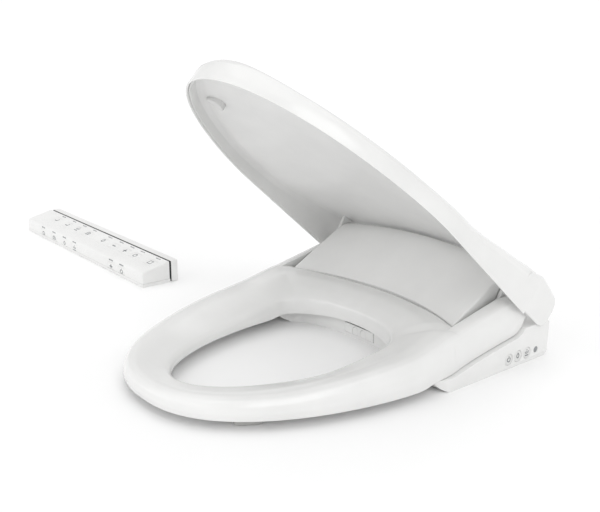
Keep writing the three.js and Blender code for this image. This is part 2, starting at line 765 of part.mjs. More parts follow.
// Surface of the lid set in by t, from the rim to the middle line, on one row for each outline point.
function lidGrid(t, rimH = 0, flat = null) {
  const insets = [0, 1.5, 5, lidRounding];
  const shares = [0.2, 0.45, 0.75, 1];
  return lidOutline().map(([x, u]) => {
    const target = [0, Math.max(u, 200)];
    const wide = Math.hypot(target[0] - x, target[1] - u);
    const edge = along(lidEdge, u) - t;
    const start = t / wide;
    const row = [[lerp(x, target[0], start), lerp(u, target[1], start), rimH]];
    for (const inset of insets) {
      const rise = 1 - (1 - inset / lidRounding) ** 2.6;
      const f = (inset + t) / wide;
      row.push([lerp(x, target[0], f), lerp(u, target[1], f), lerp(edge * 0.72, edge, rise)]);
    }
    for (const share of shares) {
      const f0 = (lidRounding + t) / wide;
      const f = lerp(f0, 1, share);
      const [px, pu] = [lerp(x, target[0], f), lerp(u, target[1], f)];
      const h = lerp(edge, along(lidMiddle, pu) - t, 1 - (1 - share) ** 2);
      row.push([px, pu, h]);
    }
    return row.map(([px, pu, h]) => lidPlace(px, pu, flat === null ? h : flat));
  });
}

function makeLid() {
  let outer = body(shell(lidGrid(0), lidGrid(skin)));
  // side cheeks, as distances behind the hinge line and heights above the rim
  const cheek = [[-26, 3], [44, 4], [53, 7], [58, 18], [58, 37], [53, 48], [26, 53], [0, 56], [-26, 48]];
  for (const side of [-1, 1]) {
    const plate = cheek.map(([u, h]) => lidPlace(0, lidPivotU + u, h).slice(1));
    const [a, b] = [side * (lidHalf - skin + 0.2), side * lidHalf];
    outer = outer.add(body(across(plate, Math.min(a, b), Math.max(a, b))));
  }
  add("lid_outer_shell", geometryOf(outer), white);
  const [t1, t2] = [skin + gap, skin + gap + panelSkin];
  let panel = body(shell(lidGrid(t1, 3), lidGrid(t2, 3)));
  // height of a hinge arm's top, just inside the panel's wall
  function armTop(u) {
    const inwards = lidHalf - (lidArmIn + lidArmOut) / 2 - lidRounding - t2;
    const share = inwards / (lidHalf - lidRounding - t2);
    return lerp(along(lidEdge, u), along(lidMiddle, u), 1 - (1 - share) ** 2) - t2 + 0.7;
  }
  for (const side of [-1, 1]) {
    const foot = Array.from({ length: 13 }, (_, i) => {
      const a = rad(180 + (180 * i) / 12);
      const r = pinRadius + 6;
      return [lidPivotU + r * Math.cos(a), lidPivotH + r * Math.sin(a)];
    });
    const top = [1, -15, -27].map((u) => [lidPivotU + u, armTop(lidPivotU + u)]);
    const arm = [...foot, ...top].map(([u, h]) => lidPlace(0, u, h).slice(1));
    const [a, b] = [side * lidArmIn, side * lidArmOut];
    panel = panel.add(body(across(arm, Math.min(a, b), Math.max(a, b))));
    const bore = bar(0, pinRadius + pinClear, [side * (lidArmIn - 5), hingeY, hingeZ],
      [side * (lidArmOut + 5), hingeY, hingeZ]);
    panel = panel.subtract(body(bore));
  }
  add("lid_inner_panel", geometryOf(panel), greyWhite);
  const room = body(shell(lidGrid(t2 + gap, 4), lidGrid(t2 + gap, 4, 4)));
  for (const side of [-1, 1]) {
    const pad = new THREE.CylinderGeometry(13, 13, 44, 24).rotateX(Math.PI / 2);
    const turn = new THREE.Matrix4().makeRotationX(-rad(lidTilt));
    pad.applyMatrix4(turn).translate(...lidPlace(side * 108, 88, 17 + 22));
    add(side < 0 ? "lid_bumper_left" : "lid_bumper_right", geometryOf(body(pad).intersect(room)), rubber);
  }
}

// ---- remote -------------------------------------------------------------------------------------
const remoteRise = Math.atan2(remoteBackZ - remoteFrontZ, remoteDepth);
const topKeys = [0.155, 0.257, 0.353, 0.445, 0.578, 0.67, 0.755, 0.833, 0.945]; // places, from the left end
const frontKeys = [0.16, 0.265, 0.364, 0.456, 0.765, 0.846];

function remoteProfile(t) {
  const [front, back] = [remoteFrontY + t, remoteFrontY + remoteDepth - t];
  return [
    [front, t + 1],
    [front, remoteFrontZ - t * 1.1],
    [back, remoteBackZ - t * 1.1],
    [back, t + 1],
    [back - 1, t],
    [front + 1, t],
  ];
}

// A key tile seated in the remote's top slope or its front face, grown by grow all round.
function keyBlock(x, onTop, grow, thick, sink) {
  const tile = raised(roundedRectangle(keyWide + 2 * grow, (onTop ? keyDeep : keyTall) + 2 * grow, 2.5), -thick, 0);
  tile.translate(0, 0, sink);
  if (onTop) {
    const depth = remoteDepth * 0.58;
    tile.rotateX(remoteRise);
    tile.translate(x, remoteFrontY + depth, remoteFrontZ + depth * Math.tan(remoteRise));
  } else {
    tile.rotateX(Math.PI / 2).translate(x, remoteFrontY, remoteFrontZ * 0.48);
  }
  return tile;
}

function makeRemote() {
  const [right, left] = [remoteRight, remoteRight - remoteLength];
  let solid = body(across(remoteProfile(0), left, right));
  solid = solid.subtract(body(across(remoteProfile(remoteWall), left + remoteWall, right - remoteWall)));
  const floor = body(box([left - 1, remoteFrontY - 1, -1], [right + 1, remoteFrontY + remoteDepth + 1, 6]));
  let upper = solid.subtract(floor);
  const lowerCut = body(box([left - 1, remoteFrontY - 1, 6 - 0.35], [right + 1, remoteFrontY + remoteDepth + 1, 60]));
  const lower = solid.subtract(lowerCut);
  const keys = [...topKeys.map((f) => [f, true]), ...frontKeys.map((f) => [f, false])];
  keys.forEach(([f, onTop], i) => {
    const x = left + f * remoteLength;
    upper = upper.subtract(body(keyBlock(x, onTop, 0.35, 8, 4)));
    const name = onTop ? `remote_top_key_${i + 1}` : `remote_front_key_${i + 1 - topKeys.length}`;
    add(name, keyBlock(x, onTop, 0, keyThick, 0), greyWhite);
  });
  add("remote_case_upper", geometryOf(upper), white);
  const door = { half: 36, x: (left + right) / 2, y: remoteFrontY + remoteDepth / 2 };
  function batteryDoor(grow) {
    return box([door.x - door.half - grow, door.y - 12 - grow, grow > 0 ? -1 : 0.1],
      [door.x + door.half + grow, door.y + 12 + grow, grow > 0 ? 6 : 1.9]);
  }
  add("remote_case_lower", geometryOf(lower.subtract(body(batteryDoor(0.35)))), white);
  add("remote_battery_door", batteryDoor(0), white);
  const backY = remoteFrontY + remoteDepth + holderGap;
  let holder = body(box([left, backY, 0], [right, backY + holderThick, remoteBackZ - 1]));
  holder = holder.subtract(body(box([left + 12, backY + 4, -1], [right - 12, backY + holderThick - 4, 30])));
  add("remote_wall_holder", geometryOf(holder), greyWhite);
  add("remote_board", box([left + 10, remoteFrontY + 8, 8], [right - 10, remoteFrontY + remoteDepth - 8, 9.6]), board);
}

makeRing();
makeBumpers();
makeBase();
makeMounting();
makeHinges();
makeWashGear();
makeAirUnit();
makeSidePanel();
makeLid();
makeRemote();

export default model;
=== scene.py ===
# Electric bidet seat with its remote: a heated ring and a half-open lid on one hinge line, over a base
# unit that holds the wash gear. The sections follow the object as it is put together, from the plate
# that is bolted to the bowl up to the remote, and then the studio it stands in.
import bpy
import bmesh
import numpy as np
from mathutils import Matrix, Vector


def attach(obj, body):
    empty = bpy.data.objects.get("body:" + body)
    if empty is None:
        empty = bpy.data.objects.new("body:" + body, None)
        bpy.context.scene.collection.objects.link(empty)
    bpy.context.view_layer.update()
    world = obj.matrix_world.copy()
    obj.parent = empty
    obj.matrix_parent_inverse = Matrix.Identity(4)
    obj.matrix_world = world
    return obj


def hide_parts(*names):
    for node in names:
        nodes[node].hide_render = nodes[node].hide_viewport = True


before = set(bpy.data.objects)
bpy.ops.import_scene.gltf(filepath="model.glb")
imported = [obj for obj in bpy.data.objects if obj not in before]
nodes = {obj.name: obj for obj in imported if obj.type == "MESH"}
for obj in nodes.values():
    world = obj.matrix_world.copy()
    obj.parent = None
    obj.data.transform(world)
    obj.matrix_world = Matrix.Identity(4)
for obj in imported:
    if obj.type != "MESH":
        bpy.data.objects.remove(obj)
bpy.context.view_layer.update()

# ---- mounting plate and its two bolts ------------------------------------------------------------
# The plate is glass-filled nylon, moulded with a dull skin, and it is held to the bowl by two turned
# stainless steel bolts. The whole base unit slides onto it, so only its edge is ever seen.
MM = 0.001


def linear(hex_colour):
    """A colour from sRGB hex to linear RGBA: each channel by the sRGB curve."""
    c = np.array([int(hex_colour[i:i + 2], 16) for i in (1, 3, 5)]) / 255.0
    low, high = c / 12.92, ((c + 0.055) / 1.055) ** 2.4
    return (*np.where(c <= 0.04045, low, high).tolist(), 1.0)


def add_node(tree, kind, settings=None, links=None):
    """Adds one node: settings are attributes or input values, links join its inputs to other outputs."""
    made = tree.nodes.new(kind)
    for name, value in (settings or {}).items():
        if isinstance(name, str) and hasattr(made, name):
            setattr(made, name, value)
        else:
            made.inputs[name].default_value = value
    for name, output in (links or {}).items():
        tree.links.new(output, made.inputs[name])
    return made


def moulded(name, colour, shade, roughness, grain_mm, bump, uneven=0.05, coat=0.0, ior=1.49, metallic=0.0,
            stretch=(1, 1, 1)):
    """A moulded or machined finish. Broad soft noise moves the colour towards the shade, finer noise of
    grain_mm moves the roughness by uneven, and the same grain gives the bump its depth in millimetres."""
    material = bpy.data.materials.new(name)
    material.use_nodes = True
    tree = material.node_tree
    skin = tree.nodes["Principled BSDF"]
    place = add_node(tree, "ShaderNodeTexCoord").outputs["Object"]
    turned = add_node(tree, "ShaderNodeMapping", {"Scale": stretch}, {"Vector": place}).outputs["Vector"]
    flow = add_node(tree, "ShaderNodeTexNoise", {"Scale": 1 / (70 * MM), "Detail": 3.0, "Roughness": 0.55},
                    {"Vector": place}).outputs["Fac"]
    grain = add_node(tree, "ShaderNodeTexNoise", {"Scale": 1 / (grain_mm * MM), "Detail": 4.0,
                                                  "Roughness": 0.6}, {"Vector": turned}).outputs["Fac"]
    share = add_node(tree, "ShaderNodeMapRange", {"From Min": 0.32, "From Max": 0.7},
                     {"Value": flow}).outputs["Result"]
    tone = add_node(tree, "ShaderNodeMix", {"data_type": "RGBA"}, {0: share})
    tone.inputs[6].default_value = linear(colour)
    tone.inputs[7].default_value = linear(shade)
    tree.links.new(tone.outputs[2], skin.inputs["Base Color"])
    rough = add_node(tree, "ShaderNodeMapRange", {"From Min": 0.3, "From Max": 0.7,
                                                  "To Min": max(roughness - uneven, 0.02),
                                                  "To Max": roughness + uneven}, {"Value": grain})
    tree.links.new(rough.outputs["Result"], skin.inputs["Roughness"])
    raised = add_node(tree, "ShaderNodeBump", {"Strength": 1.0, "Distance": bump * MM}, {"Height": grain})
    tree.links.new(raised.outputs["Normal"], skin.inputs["Normal"])
    skin.inputs["Metallic"].default_value = metallic
    if metallic < 0.5:
        skin.inputs["IOR"].default_value = ior
    skin.inputs["Coat Weight"].default_value = coat
    skin.inputs["Coat Roughness"].default_value = 0.06
    return material


def mesh_piece(name, points, faces, material, smooth=50.0):
    """A mesh object at the origin from points in millimetres. Edges sharper than smooth degrees stay
    sharp."""
    mesh = bpy.data.meshes.new(name)
    mesh.from_pydata((np.asarray(points, float) * MM).tolist(), [], [tuple(f) for f in faces])
    shaped = bmesh.new()
    shaped.from_mesh(mesh)
    bmesh.ops.remove_doubles(shaped, verts=shaped.verts, dist=0.004 * MM)
    bmesh.ops.dissolve_degenerate(shaped, edges=shaped.edges, dist=0.002 * MM)
    bmesh.ops.recalc_face_normals(shaped, faces=shaped.faces)
    shaped.to_mesh(mesh)
    shaped.free()
    mesh.shade_smooth()
    mesh.set_sharp_from_angle(angle=np.radians(smooth))
    mesh.materials.append(material)
    piece = bpy.data.objects.new(name, mesh)
    bpy.context.scene.collection.objects.link(piece)
    return piece


def grid_faces(rows, columns, loop_rows=False, loop_columns=False):
    """Quads between neighbours of a rows by columns grid, with either direction joined end to start."""
    i, k = np.meshgrid(np.arange(rows if loop_rows else rows - 1),
                       np.arange(columns if loop_columns else columns - 1), indexing="ij")
    i2, k2 = (i + 1) % rows, (k + 1) % columns
    quads = np.stack([i * columns + k, i2 * columns + k, i2 * columns + k2, i * columns + k2], -1)
    return quads.reshape(-1, 4).tolist()


def offset(outline, inward):
    """Each point of a closed outline moved along its inward normal, which is the mean edge direction
    turned a quarter."""
    ahead, behind = np.roll(outline, -1, 0), np.roll(outline, 1, 0)
    a, b = ahead - outline, outline - behind
    a /= np.linalg.norm(a, axis=1, keepdims=True) + 1e-9
    b /= np.linalg.norm(b, axis=1, keepdims=True) + 1e-9
    along = a + b
    along /= np.linalg.norm(along, axis=1, keepdims=True) + 1e-9
    area = 0.5 * np.sum(outline[:, 0] * ahead[:, 1] - ahead[:, 0] * outline[:, 1])
    left = np.stack([-along[:, 1], along[:, 0]], 1) * np.sign(area)
    widen = 1 / np.clip(np.sqrt(np.clip((1 + (a * b).sum(1)) / 2, 0.05, 1)), 0.5, 1)
    return outline + left * inward * widen[:, None]


def slab(name, outline, low, high, rounding, material, axis=2, smooth=50.0):
    """A closed outline carried along an axis from low to high. Its edges follow a quarter circle of the
    rounding: the outline is set in by r(1 - sin a) at a height r(1 - cos a) from each end."""
    outline = np.asarray(outline, float)
    turn = np.radians(np.linspace(0, 90, 5 if rounding > 0 else 1))
    ends = [(rounding * (1 - np.sin(a)), rounding * (1 - np.cos(a))) for a in turn]
    rings = [(inset, low + rise) for inset, rise in ends]
    rings += [(inset, high - rise) for inset, rise in reversed(ends)]
    plan = [offset(outline, inset) if inset > 0 else outline for inset, _ in rings]
    count = len(outline)
    points = np.concatenate([np.column_stack([p, np.full(count, z)]) for p, (_, z) in zip(plan, rings)])
    order = {0: [2, 0, 1], 1: [0, 2, 1], 2: [0, 1, 2]}[axis]
    faces = grid_faces(len(rings), count, loop_columns=True)
    faces += [list(range(count)), list(range(len(points) - count, len(points)))]
    return mesh_piece(name, points[:, order], faces, material, smooth)


def rounded(points, radii, steps=6):
    """A closed polygon with its corners rounded: a quadratic curve leaves each side at the corner's
    radius from the corner, or at half the side if that is shorter."""
    points = np.asarray(points, float)
    radii = np.broadcast_to(np.asarray(radii, float), len(points))
    ahead, behind = np.roll(points, -1, 0) - points, np.roll(points, 1, 0) - points
    long_a, long_b = np.linalg.norm(ahead, axis=1), np.linalg.norm(behind, axis=1)
    reach = np.minimum(radii, np.minimum(long_a, long_b) * 0.49)[:, None]
    start, end = points + behind / long_b[:, None] * reach, points + ahead / long_a[:, None] * reach
    f = np.linspace(0, 1, steps + 1)[None, :, None]
    curve = (1 - f) ** 2 * start[:, None] + 2 * f * (1 - f) * points[:, None] + f ** 2 * end[:, None]
    return curve.reshape(-1, points.shape[1])


def rectangle(width, depth, centre=(0, 0)):
    """The four corners of a rectangle about a centre."""
    return np.array([(1, 1), (-1, 1), (-1, -1), (1, -1)]) * (width / 2, depth / 2) + centre


def circle(radius, centre=(0, 0), steps=48):
    """Points at equal angles round a centre."""
    a = np.linspace(0, 2 * np.pi, steps, endpoint=False)
    return np.stack([centre[0] + radius * np.cos(a), centre[1] + radius * np.sin(a)], 1)


def dress(names, material):
    """The same finish on each of these parts of the frame."""
    for name in names:
        shown = nodes[name]
        for place in shown.material_slots:
            place.material = material
        if not shown.material_slots:
            shown.data.materials.append(material)


def stand_in(piece, body, slot, *replaced):
    """The piece moves with a body and stands for these parts of the frame; its slot is not used."""
    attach(piece, body)
    if replaced:
        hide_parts(*replaced)


# Nylon 66 with glass fibre: dull, faintly mottled where fibres lie near the skin.
glass_filled_nylon = moulded("glass_filled_nylon_moulded", "#a5a8aa", "#8f9396", 0.52, 0.9, 0.03, 0.1)
# Turned stainless steel: fine rings round the bolt, drawn coarser than the real feed of 0.1 mm.
turned_stainless = moulded("stainless_steel_turned", "#c9cbcd", "#b4b7ba", 0.3, 1.6, 0.012, 0.08,
                           metallic=1.0, stretch=(1, 1, 4))
dress(["mounting_plate"], glass_filled_nylon)
dress(["mounting_bolt_left", "mounting_bolt_right"], turned_stainless)

# ---- lower case of the base ----------------------------------------------------------------------
# One white polypropylene moulding: a tray with two arms that run forward under the ring, and a curved
# front wall with the nozzle doorway. It slides onto the plate and carries everything else.
BASE_HALF, BASE_REAR, ARM_TIP_Y, SHOULDER = 194.8, 43.0, -172.0, 50.0
HINGE_Y, HINGE_Z = -30.0, 66.0
EAR_RADIUS, EAR_SLOT = 26.0, 1.4
OPEN_HALF, OPEN_REAR = 107.0, -131.0
BASE_WALL, GAP = 3.0, 0.4
PLATE_WIDE, PLATE_DEEP, PLATE_THICK, BOLT_X = 190.0, 50.0, 3.0, 70.0
ARM_LINE = np.array([(-175, 16.5), (-145, 18), (-99, 28), (-55, 35), (-30, 38.6)])
DOOR_HALF, DOOR_LOW, DOOR_HIGH = 30.0, 4.6, 20.8
BUTTON_Y = [-40.0, -21.0, -2.0, 17.0]
BUTTON_R = [7.6, 7.6, 7.6, 4.0]
BUTTON_Z = 13.5
INLET_X, INLET_Z = 140.0, 22.0

# Polypropylene moulded in a polished tool: glossy, with the faint orange peel of a flow front.
polished_white = moulded("white_polypropylene_gloss", "#e8e8e7", "#e3e3e2", 0.2, 2.2, 0.006, 0.03, coat=0.25)


def arc(y, z, radius, start, end, steps):
    """Points round a centre between two angles in degrees."""
    a = np.radians(np.linspace(start, end, steps + 1))
    return np.stack([y + radius * np.cos(a), z + radius * np.sin(a)], 1)


def bent(values, power):
    """A value's size raised to a power, with its sign kept."""
    return np.sign(values) * np.abs(values) ** power


def case_side(grow=0.0):
    """Side outline of the case: its foot, the arm's rising top edge, the round seat behind the ring's
    ear, the shoulder and the rear face."""
    top = np.array([(ARM_TIP_Y + 18, 0), (ARM_TIP_Y + 7, 6), (ARM_TIP_Y - 3, 15),
                    (ARM_TIP_Y - 1, 16.6 + grow)])
    rear = np.array([(BASE_REAR - 3, SHOULDER + grow), (BASE_REAR, SHOULDER - 3 + grow), (BASE_REAR, 6),
                     (BASE_REAR - 6, 0)])
    seat = arc(HINGE_Y, HINGE_Z, EAR_RADIUS + EAR_SLOT - grow, -80, -36, 20)
    knots = ARM_LINE[:, 0]
    y = np.linspace(knots[1], knots[-1], 40)
    line = np.interp(y, knots, ARM_LINE[:, 1])
    line = np.convolve(np.pad(line, 4, mode="reflect", reflect_type="odd"), np.ones(9) / 9, "valid")
    return np.concatenate([top, np.stack([y, line + grow], 1), seat, rear])


def case_plan(inset, steps=70):
    """Plan of the case: its two arms and the front wall, a superellipse behind the opening."""
    half = BASE_HALF - inset
    corners = np.array([(half, ARM_TIP_Y + 22 + inset), (half - 8, ARM_TIP_Y + inset),
                        (half - 22, ARM_TIP_Y - 6 + inset), (OPEN_HALF + 22 + inset, ARM_TIP_Y + inset)])
    a = np.radians(90 - 90 * np.arange(1, steps + 1) / steps)
    wall = np.stack([(OPEN_HALF + 14 + inset) * bent(np.sin(a), 0.9),
                     ARM_TIP_Y + inset + (OPEN_REAR + 8 - ARM_TIP_Y) * bent(np.cos(a), 0.9)], 1)
    right = np.concatenate([corners, wall])
    left = right[:-1][::-1] * (-1, 1)
    return np.concatenate([[(half, BASE_REAR - inset)], right, left, [(-half, BASE_REAR - inset)]])


def cutter(outline, low, high, axis=2):
    """A solid to cut with: an outline carried along an axis, with sharp edges."""
    return slab("cutter", outline, low, high, 0, polished_white, axis)


def applied(piece):
    """Replaces the piece's mesh by what its modifiers make of it."""
    bpy.context.view_layer.update()
    shaped = bpy.data.meshes.new_from_object(piece.evaluated_get(bpy.context.evaluated_depsgraph_get()))
    piece.modifiers.clear()
    old, piece.data = piece.data, shaped
    bpy.data.meshes.remove(old)


def finished(piece, material):
    """The piece in one material, smooth but for edges sharper than 40 degrees."""
    piece.data.materials.clear()
    piece.data.materials.append(material)
    piece.data.shade_smooth()
    piece.data.set_sharp_from_angle(angle=np.radians(40))


def cut(piece, cutters, operation="DIFFERENCE"):
    """The piece's mesh after a boolean with each cutter, which is then removed."""
    for solid in cutters:
        joined = piece.modifiers.new("cut", "BOOLEAN")
        joined.operation, joined.object, joined.solver = operation, solid, "EXACT"
        applied(piece)
        used = solid.data
        bpy.data.objects.remove(solid)
        bpy.data.meshes.remove(used)


def eased(piece, width, material, sharp=35.0):
    """Bevels the piece's sharp edges by width in millimetres, then finishes it."""
    bevel = piece.modifiers.new("ease", "BEVEL")
    bevel.width, bevel.segments, bevel.limit_method = width * MM, 3, "ANGLE"
    bevel.angle_limit, bevel.use_clamp_overlap = np.radians(sharp), True
    applied(piece)
    finished(piece, material)


lower_case = slab("base_case_moulding", case_plan(0), -1, 90, 0, polished_white)
cut(lower_case, [cutter(case_side(), -BASE_HALF - 1, BASE_HALF + 1, 0)], "INTERSECT")
hollow_rear = [(HINGE_Y + 12, 35.6), (BASE_REAR - 5, 47), (BASE_REAR - 3, 6), (BASE_REAR - 6, 3)]
hollow_side = np.concatenate([[(ARM_TIP_Y + 20, BASE_WALL)], ARM_LINE[1:] - (0, BASE_WALL), hollow_rear])
hollow = cutter(case_plan(BASE_WALL), -1, 90)
cut(hollow, [cutter(hollow_side, -BASE_HALF, BASE_HALF, 0)], "INTERSECT")
tray = cutter([(-90, 26), (37, 26), (37, 90), (-90, 90)], -154, 154, 0)
door_centre = (0, (DOOR_HIGH + DOOR_LOW) / 2)
doorway = cutter(rectangle(2 * DOOR_HALF, DOOR_HIGH - DOOR_LOW, door_centre), -140, -100, 1)
recess = cutter(rectangle(PLATE_WIDE + 2 * GAP, PLATE_DEEP + 2 * GAP), -1, PLATE_THICK + GAP)
round_cuts = [cutter(circle(9, (x, 0)), -1, 9) for x in (-BOLT_X, BOLT_X)]
round_cuts += [cutter(circle(r + 0.35, (y, BUTTON_Z)), BASE_HALF - 9, BASE_HALF + 4, 0)
               for y, r in zip(BUTTON_Y, BUTTON_R)]
round_cuts += [cutter(circle(r, (x, INLET_Z)), 20, 60, 1) for x, r in ((-INLET_X, 10.8), (INLET_X, 8.4))]
cut(lower_case, [hollow, tray, doorway, recess, *round_cuts])
eased(lower_case, 0.8, polished_white)
stand_in(lower_case, "base", "white_shell", "base_lower_case")

# ---- water inlet and cord gland ------------------------------------------------------------------
# A turned brass union takes the water hose at the left of the rear face. At the right, a moulded
# rubber gland is where the mains lead would enter.
# Brass, turned and left bare: warm, with tool rings.
turned_brass = moulded("brass_turned", "#c39a55", "#a9833f", 0.32, 1.4, 0.012, 0.08, metallic=1.0,
                       stretch=(1, 5, 1))
# Thermoplastic elastomer: soft grey, matt, very slightly bloomed.
grey_elastomer = moulded("grey_elastomer_moulded", "#bdbdbb", "#b2b2b0", 0.72, 0.8, 0.02, 0.08)
# The same elastomer in off-white, for pads that show.
soft_white_elastomer = moulded("white_elastomer_moulded", "#dcdcdb", "#d2d2d1", 0.62, 0.8, 0.02, 0.06)


def lathe(name, profile, steps, material, centre):
    """A closed profile of (radius, distance along Y) turned about a line along Y through the centre."""
    profile = np.asarray(profile, float)
    a = np.linspace(0, 2 * np.pi, steps, endpoint=False)
    points = np.stack([centre[0] + profile[None, :, 0] * np.cos(a)[:, None],
                       centre[1] + np.repeat(profile[None, :, 1], steps, 0),
                       centre[2] + profile[None, :, 0] * np.sin(a)[:, None]], -1)
    faces = grid_faces(steps, len(profile), True, True)
    return mesh_piece(name, points.reshape(-1, 3), faces, material, 40)


thread = [(9.6 + 0.75 * (k % 2), 2.0 + 0.85 * k) for k in range(20)]
union = lathe("water_inlet_union", [(5.5, 0), (10.0, 0), *thread, (9.2, 19), (8.6, 20), (5.5, 20)], 64,
              turned_brass, (-INLET_X, BASE_REAR - 10, INLET_Z))
stand_in(union, "base", "brass", "water_inlet_fitting")
ribs = [(7.2 + 0.6 * (k % 2), 8.4 + 1.0 * k) for k in range(6)]
gland = lathe("cord_gland_boot", [(3.6, 0), (8, 0), (8, 7.6), *ribs, (6.2, 15), (5.6, 16), (3.6, 16)], 48,
              grey_elastomer, (INLET_X, BASE_REAR - 8, INLET_Z))
stand_in(gland, "base", "grey_rubber", "cord_gland")

# ---- wash gear, heater and air unit --------------------------------------------------------------
# These sit in the tray under the cover: a heater tank, valve, nozzle drive, control board, and a
# blower that draws air through a charcoal filter. They are moulded, with no cosmetic finish.
# ABS moulded in a spark-eroded tool: black, with a fine even grain. The same black also paints the shadow in
# the gap behind the remote.
black_abs_and_gap_shadow = moulded("black_abs_eroded_and_gap_shadow", "#2c2d2f", "#232426", 0.5, 0.7, 0.03, 0.1)
# ABS in light grey, semi-gloss.
grey_abs = moulded("light_grey_abs_semi_gloss", "#dededd", "#d8d8d7", 0.33, 1.6, 0.008, 0.04)
# Charcoal filter: compressed granules of about 1.5 mm.
pressed_charcoal = moulded("charcoal_granules_pressed", "#2a2a2a", "#191919", 0.85, 1.5, 0.5, 0.1)
# Epoxy glass board with a green solder mask: semi-gloss, with copper tracks showing paler through it.
solder_mask = bpy.data.materials.new("epoxy_glass_board_solder_mask")
solder_mask.use_nodes = True
tree = solder_mask.node_tree
place = add_node(tree, "ShaderNodeTexCoord").outputs["Object"]
tracks = add_node(tree, "ShaderNodeTexBrick", {"Scale": 1.0, "Brick Width": 9 * MM, "Row Height": 1.6 * MM,
                                               "Mortar Size": 0.25 * MM, "Bias": -0.2,
                                               "Color1": linear("#2f7047"), "Color2": linear("#275f3c"),
                                               "Mortar": linear("#4d9468")}, {"Vector": place})
tree.links.new(tracks.outputs["Color"], tree.nodes["Principled BSDF"].inputs["Base Color"])
raised = add_node(tree, "ShaderNodeBump", {"Strength": 0.6, "Distance": 0.03 * MM},
                  {"Height": tracks.outputs["Fac"]})
tree.links.new(raised.outputs["Normal"], tree.nodes["Principled BSDF"].inputs["Normal"])
tree.nodes["Principled BSDF"].inputs["Roughness"].default_value = 0.34
dress(["heater_tank"], grey_abs)
dress(["water_valve", "nozzle_guide", "fan_housing"], glass_filled_nylon)
dress(["nozzle_drive_motor", "fan_motor", "fan_impeller"], black_abs_and_gap_shadow)
dress(["deodoriser_filter"], pressed_charcoal)
dress(["control_board", "remote_board"], solder_mask)

# ---- wash nozzles and their door -----------------------------------------------------------------
# Two round-nosed wands slide forward past a small flap. The wands are glossy acetal with a spray hole
# on top, and the flap is white polypropylene that hangs from its upper edge.
NOZZLE_R, NOZZLE_LONG, NOZZLE_TILT, NOZZLE_NOSE = 5.0, 112.0, np.radians(2), (-123.0, 11.2)
DOOR_Y, WAND_X = NOZZLE_NOSE[0] - 0.4, 8.0
# Acetal: dense, slightly waxy gloss, a little warmer than the case.
waxy_acetal = moulded("acetal_moulded_waxy", "#e2e2e0", "#dcdcda", 0.27, 1.2, 0.006, 0.04, ior=1.48)


def moved(piece, place):
    """Puts every point of the piece through place(x, y, z), which works in millimetres."""
    spot = np.empty(len(piece.data.vertices) * 3)
    piece.data.vertices.foreach_get("co", spot)
    piece.data.vertices.foreach_set("co", (place(*spot.reshape(-1, 3).T / MM) * MM).ravel())


def along_slide(x):
    """Returns a function that tilts a wand nose down and sets its nose at the place x."""
    c, s = np.cos(NOZZLE_TILT), np.sin(NOZZLE_TILT)
    y, z = NOZZLE_NOSE
    return lambda u, v, w: np.stack([u + x, v * c - w * s + y, v * s + w * c + z], 1)


for word, x, body in (("rear", -WAND_X, "rear_nozzle"), ("front", WAND_X, "front_nozzle")):
    round_nose = arc(0, 0, 1, 0, 90, 10)
    profile = [(0.01, 0.0), *[(2.4 + 2.6 * s, 2.4 - 2.4 * c) for c, s in round_nose[1:-1]],
               (NOZZLE_R, 2.6), (NOZZLE_R, NOZZLE_LONG), (0.01, NOZZLE_LONG)]
    wand = lathe(f"{word}_wash_wand", profile, 56, waxy_acetal, (0, 0, 0))
    cut(wand, [cutter(circle(0.7, hole, 16), 3.2, 8) for hole in ((0, 7), (-1.8, 9.4), (1.8, 9.4))])
    moved(wand, along_slide(x))
    finished(wand, waxy_acetal)
    stand_in(wand, body, "soft_white", f"{word}_wash_nozzle")
    arch = np.concatenate([arc(x, NOZZLE_NOSE[1], 5.3, 0, 180, 24), [(x - 5.3, 5.4), (x + 5.3, 5.4)]])
    shield = slab(f"{word}_wand_shield", arch, NOZZLE_NOSE[0] - 1.3, NOZZLE_NOSE[0] + 0.2, 0.3,
                  polished_white, 1)
    stand_in(shield, body, "soft_white")

flap_half, flap_low, flap_high = DOOR_HALF - 0.6, DOOR_LOW + 0.6, DOOR_HIGH - 1.6
flap_outline = rectangle(2 * flap_half, flap_high - flap_low, (0, (flap_high + flap_low) / 2))
flap = slab("nozzle_flap", rounded(flap_outline, 1.5), DOOR_Y - 1.2, DOOR_Y + 1.2, 0.5, polished_white, 1)
for x in (-WAND_X, WAND_X):
    half_round = circle(NOZZLE_R + 0.7, (x, NOZZLE_NOSE[1]), 40)
    below = rectangle(2 * (NOZZLE_R + 0.7), 12, (x, NOZZLE_NOSE[1] - 6))
    cut(flap, [cutter(notch, DOOR_Y - 4, DOOR_Y + 4, 1) for notch in (half_round, below)])
eased(flap, 0.3, polished_white)
stand_in(flap, "nozzle_door", "white_shell", "nozzle_door")

# ---- hinge posts, pins and dampers ---------------------------------------------------------------
# Nylon posts in the tray carry two ground steel pins. Rotary dampers round the pins let the ring and
# the lid down slowly.
# Ground stainless steel: fine scratches along the round of the pin, drawn coarser than the real grit.
ground_stainless = moulded("stainless_steel_ground", "#cfd1d3", "#bcbfc2", 0.24, 1.2, 0.008, 0.06,
                           metallic=1.0, stretch=(6, 1, 1))
dress(["hinge_post_left", "hinge_post_right", "lid_damper", "seat_damper"], glass_filled_nylon)
POST_X, PIN_END, PIN_R, PIN_CLEAR = 112.0, 187.0, 6.0, 0.35
for word, a, b in (("left", -PIN_END, -POST_X - 1), ("right", POST_X + 1, PIN_END)):
    pin = slab(f"hinge_pin_{word}_ground", circle(PIN_R, (HINGE_Y, HINGE_Z)), a, b, 0.8, ground_stainless, 0)
    stand_in(pin, "base", "steel", f"hinge_pin_{word}")

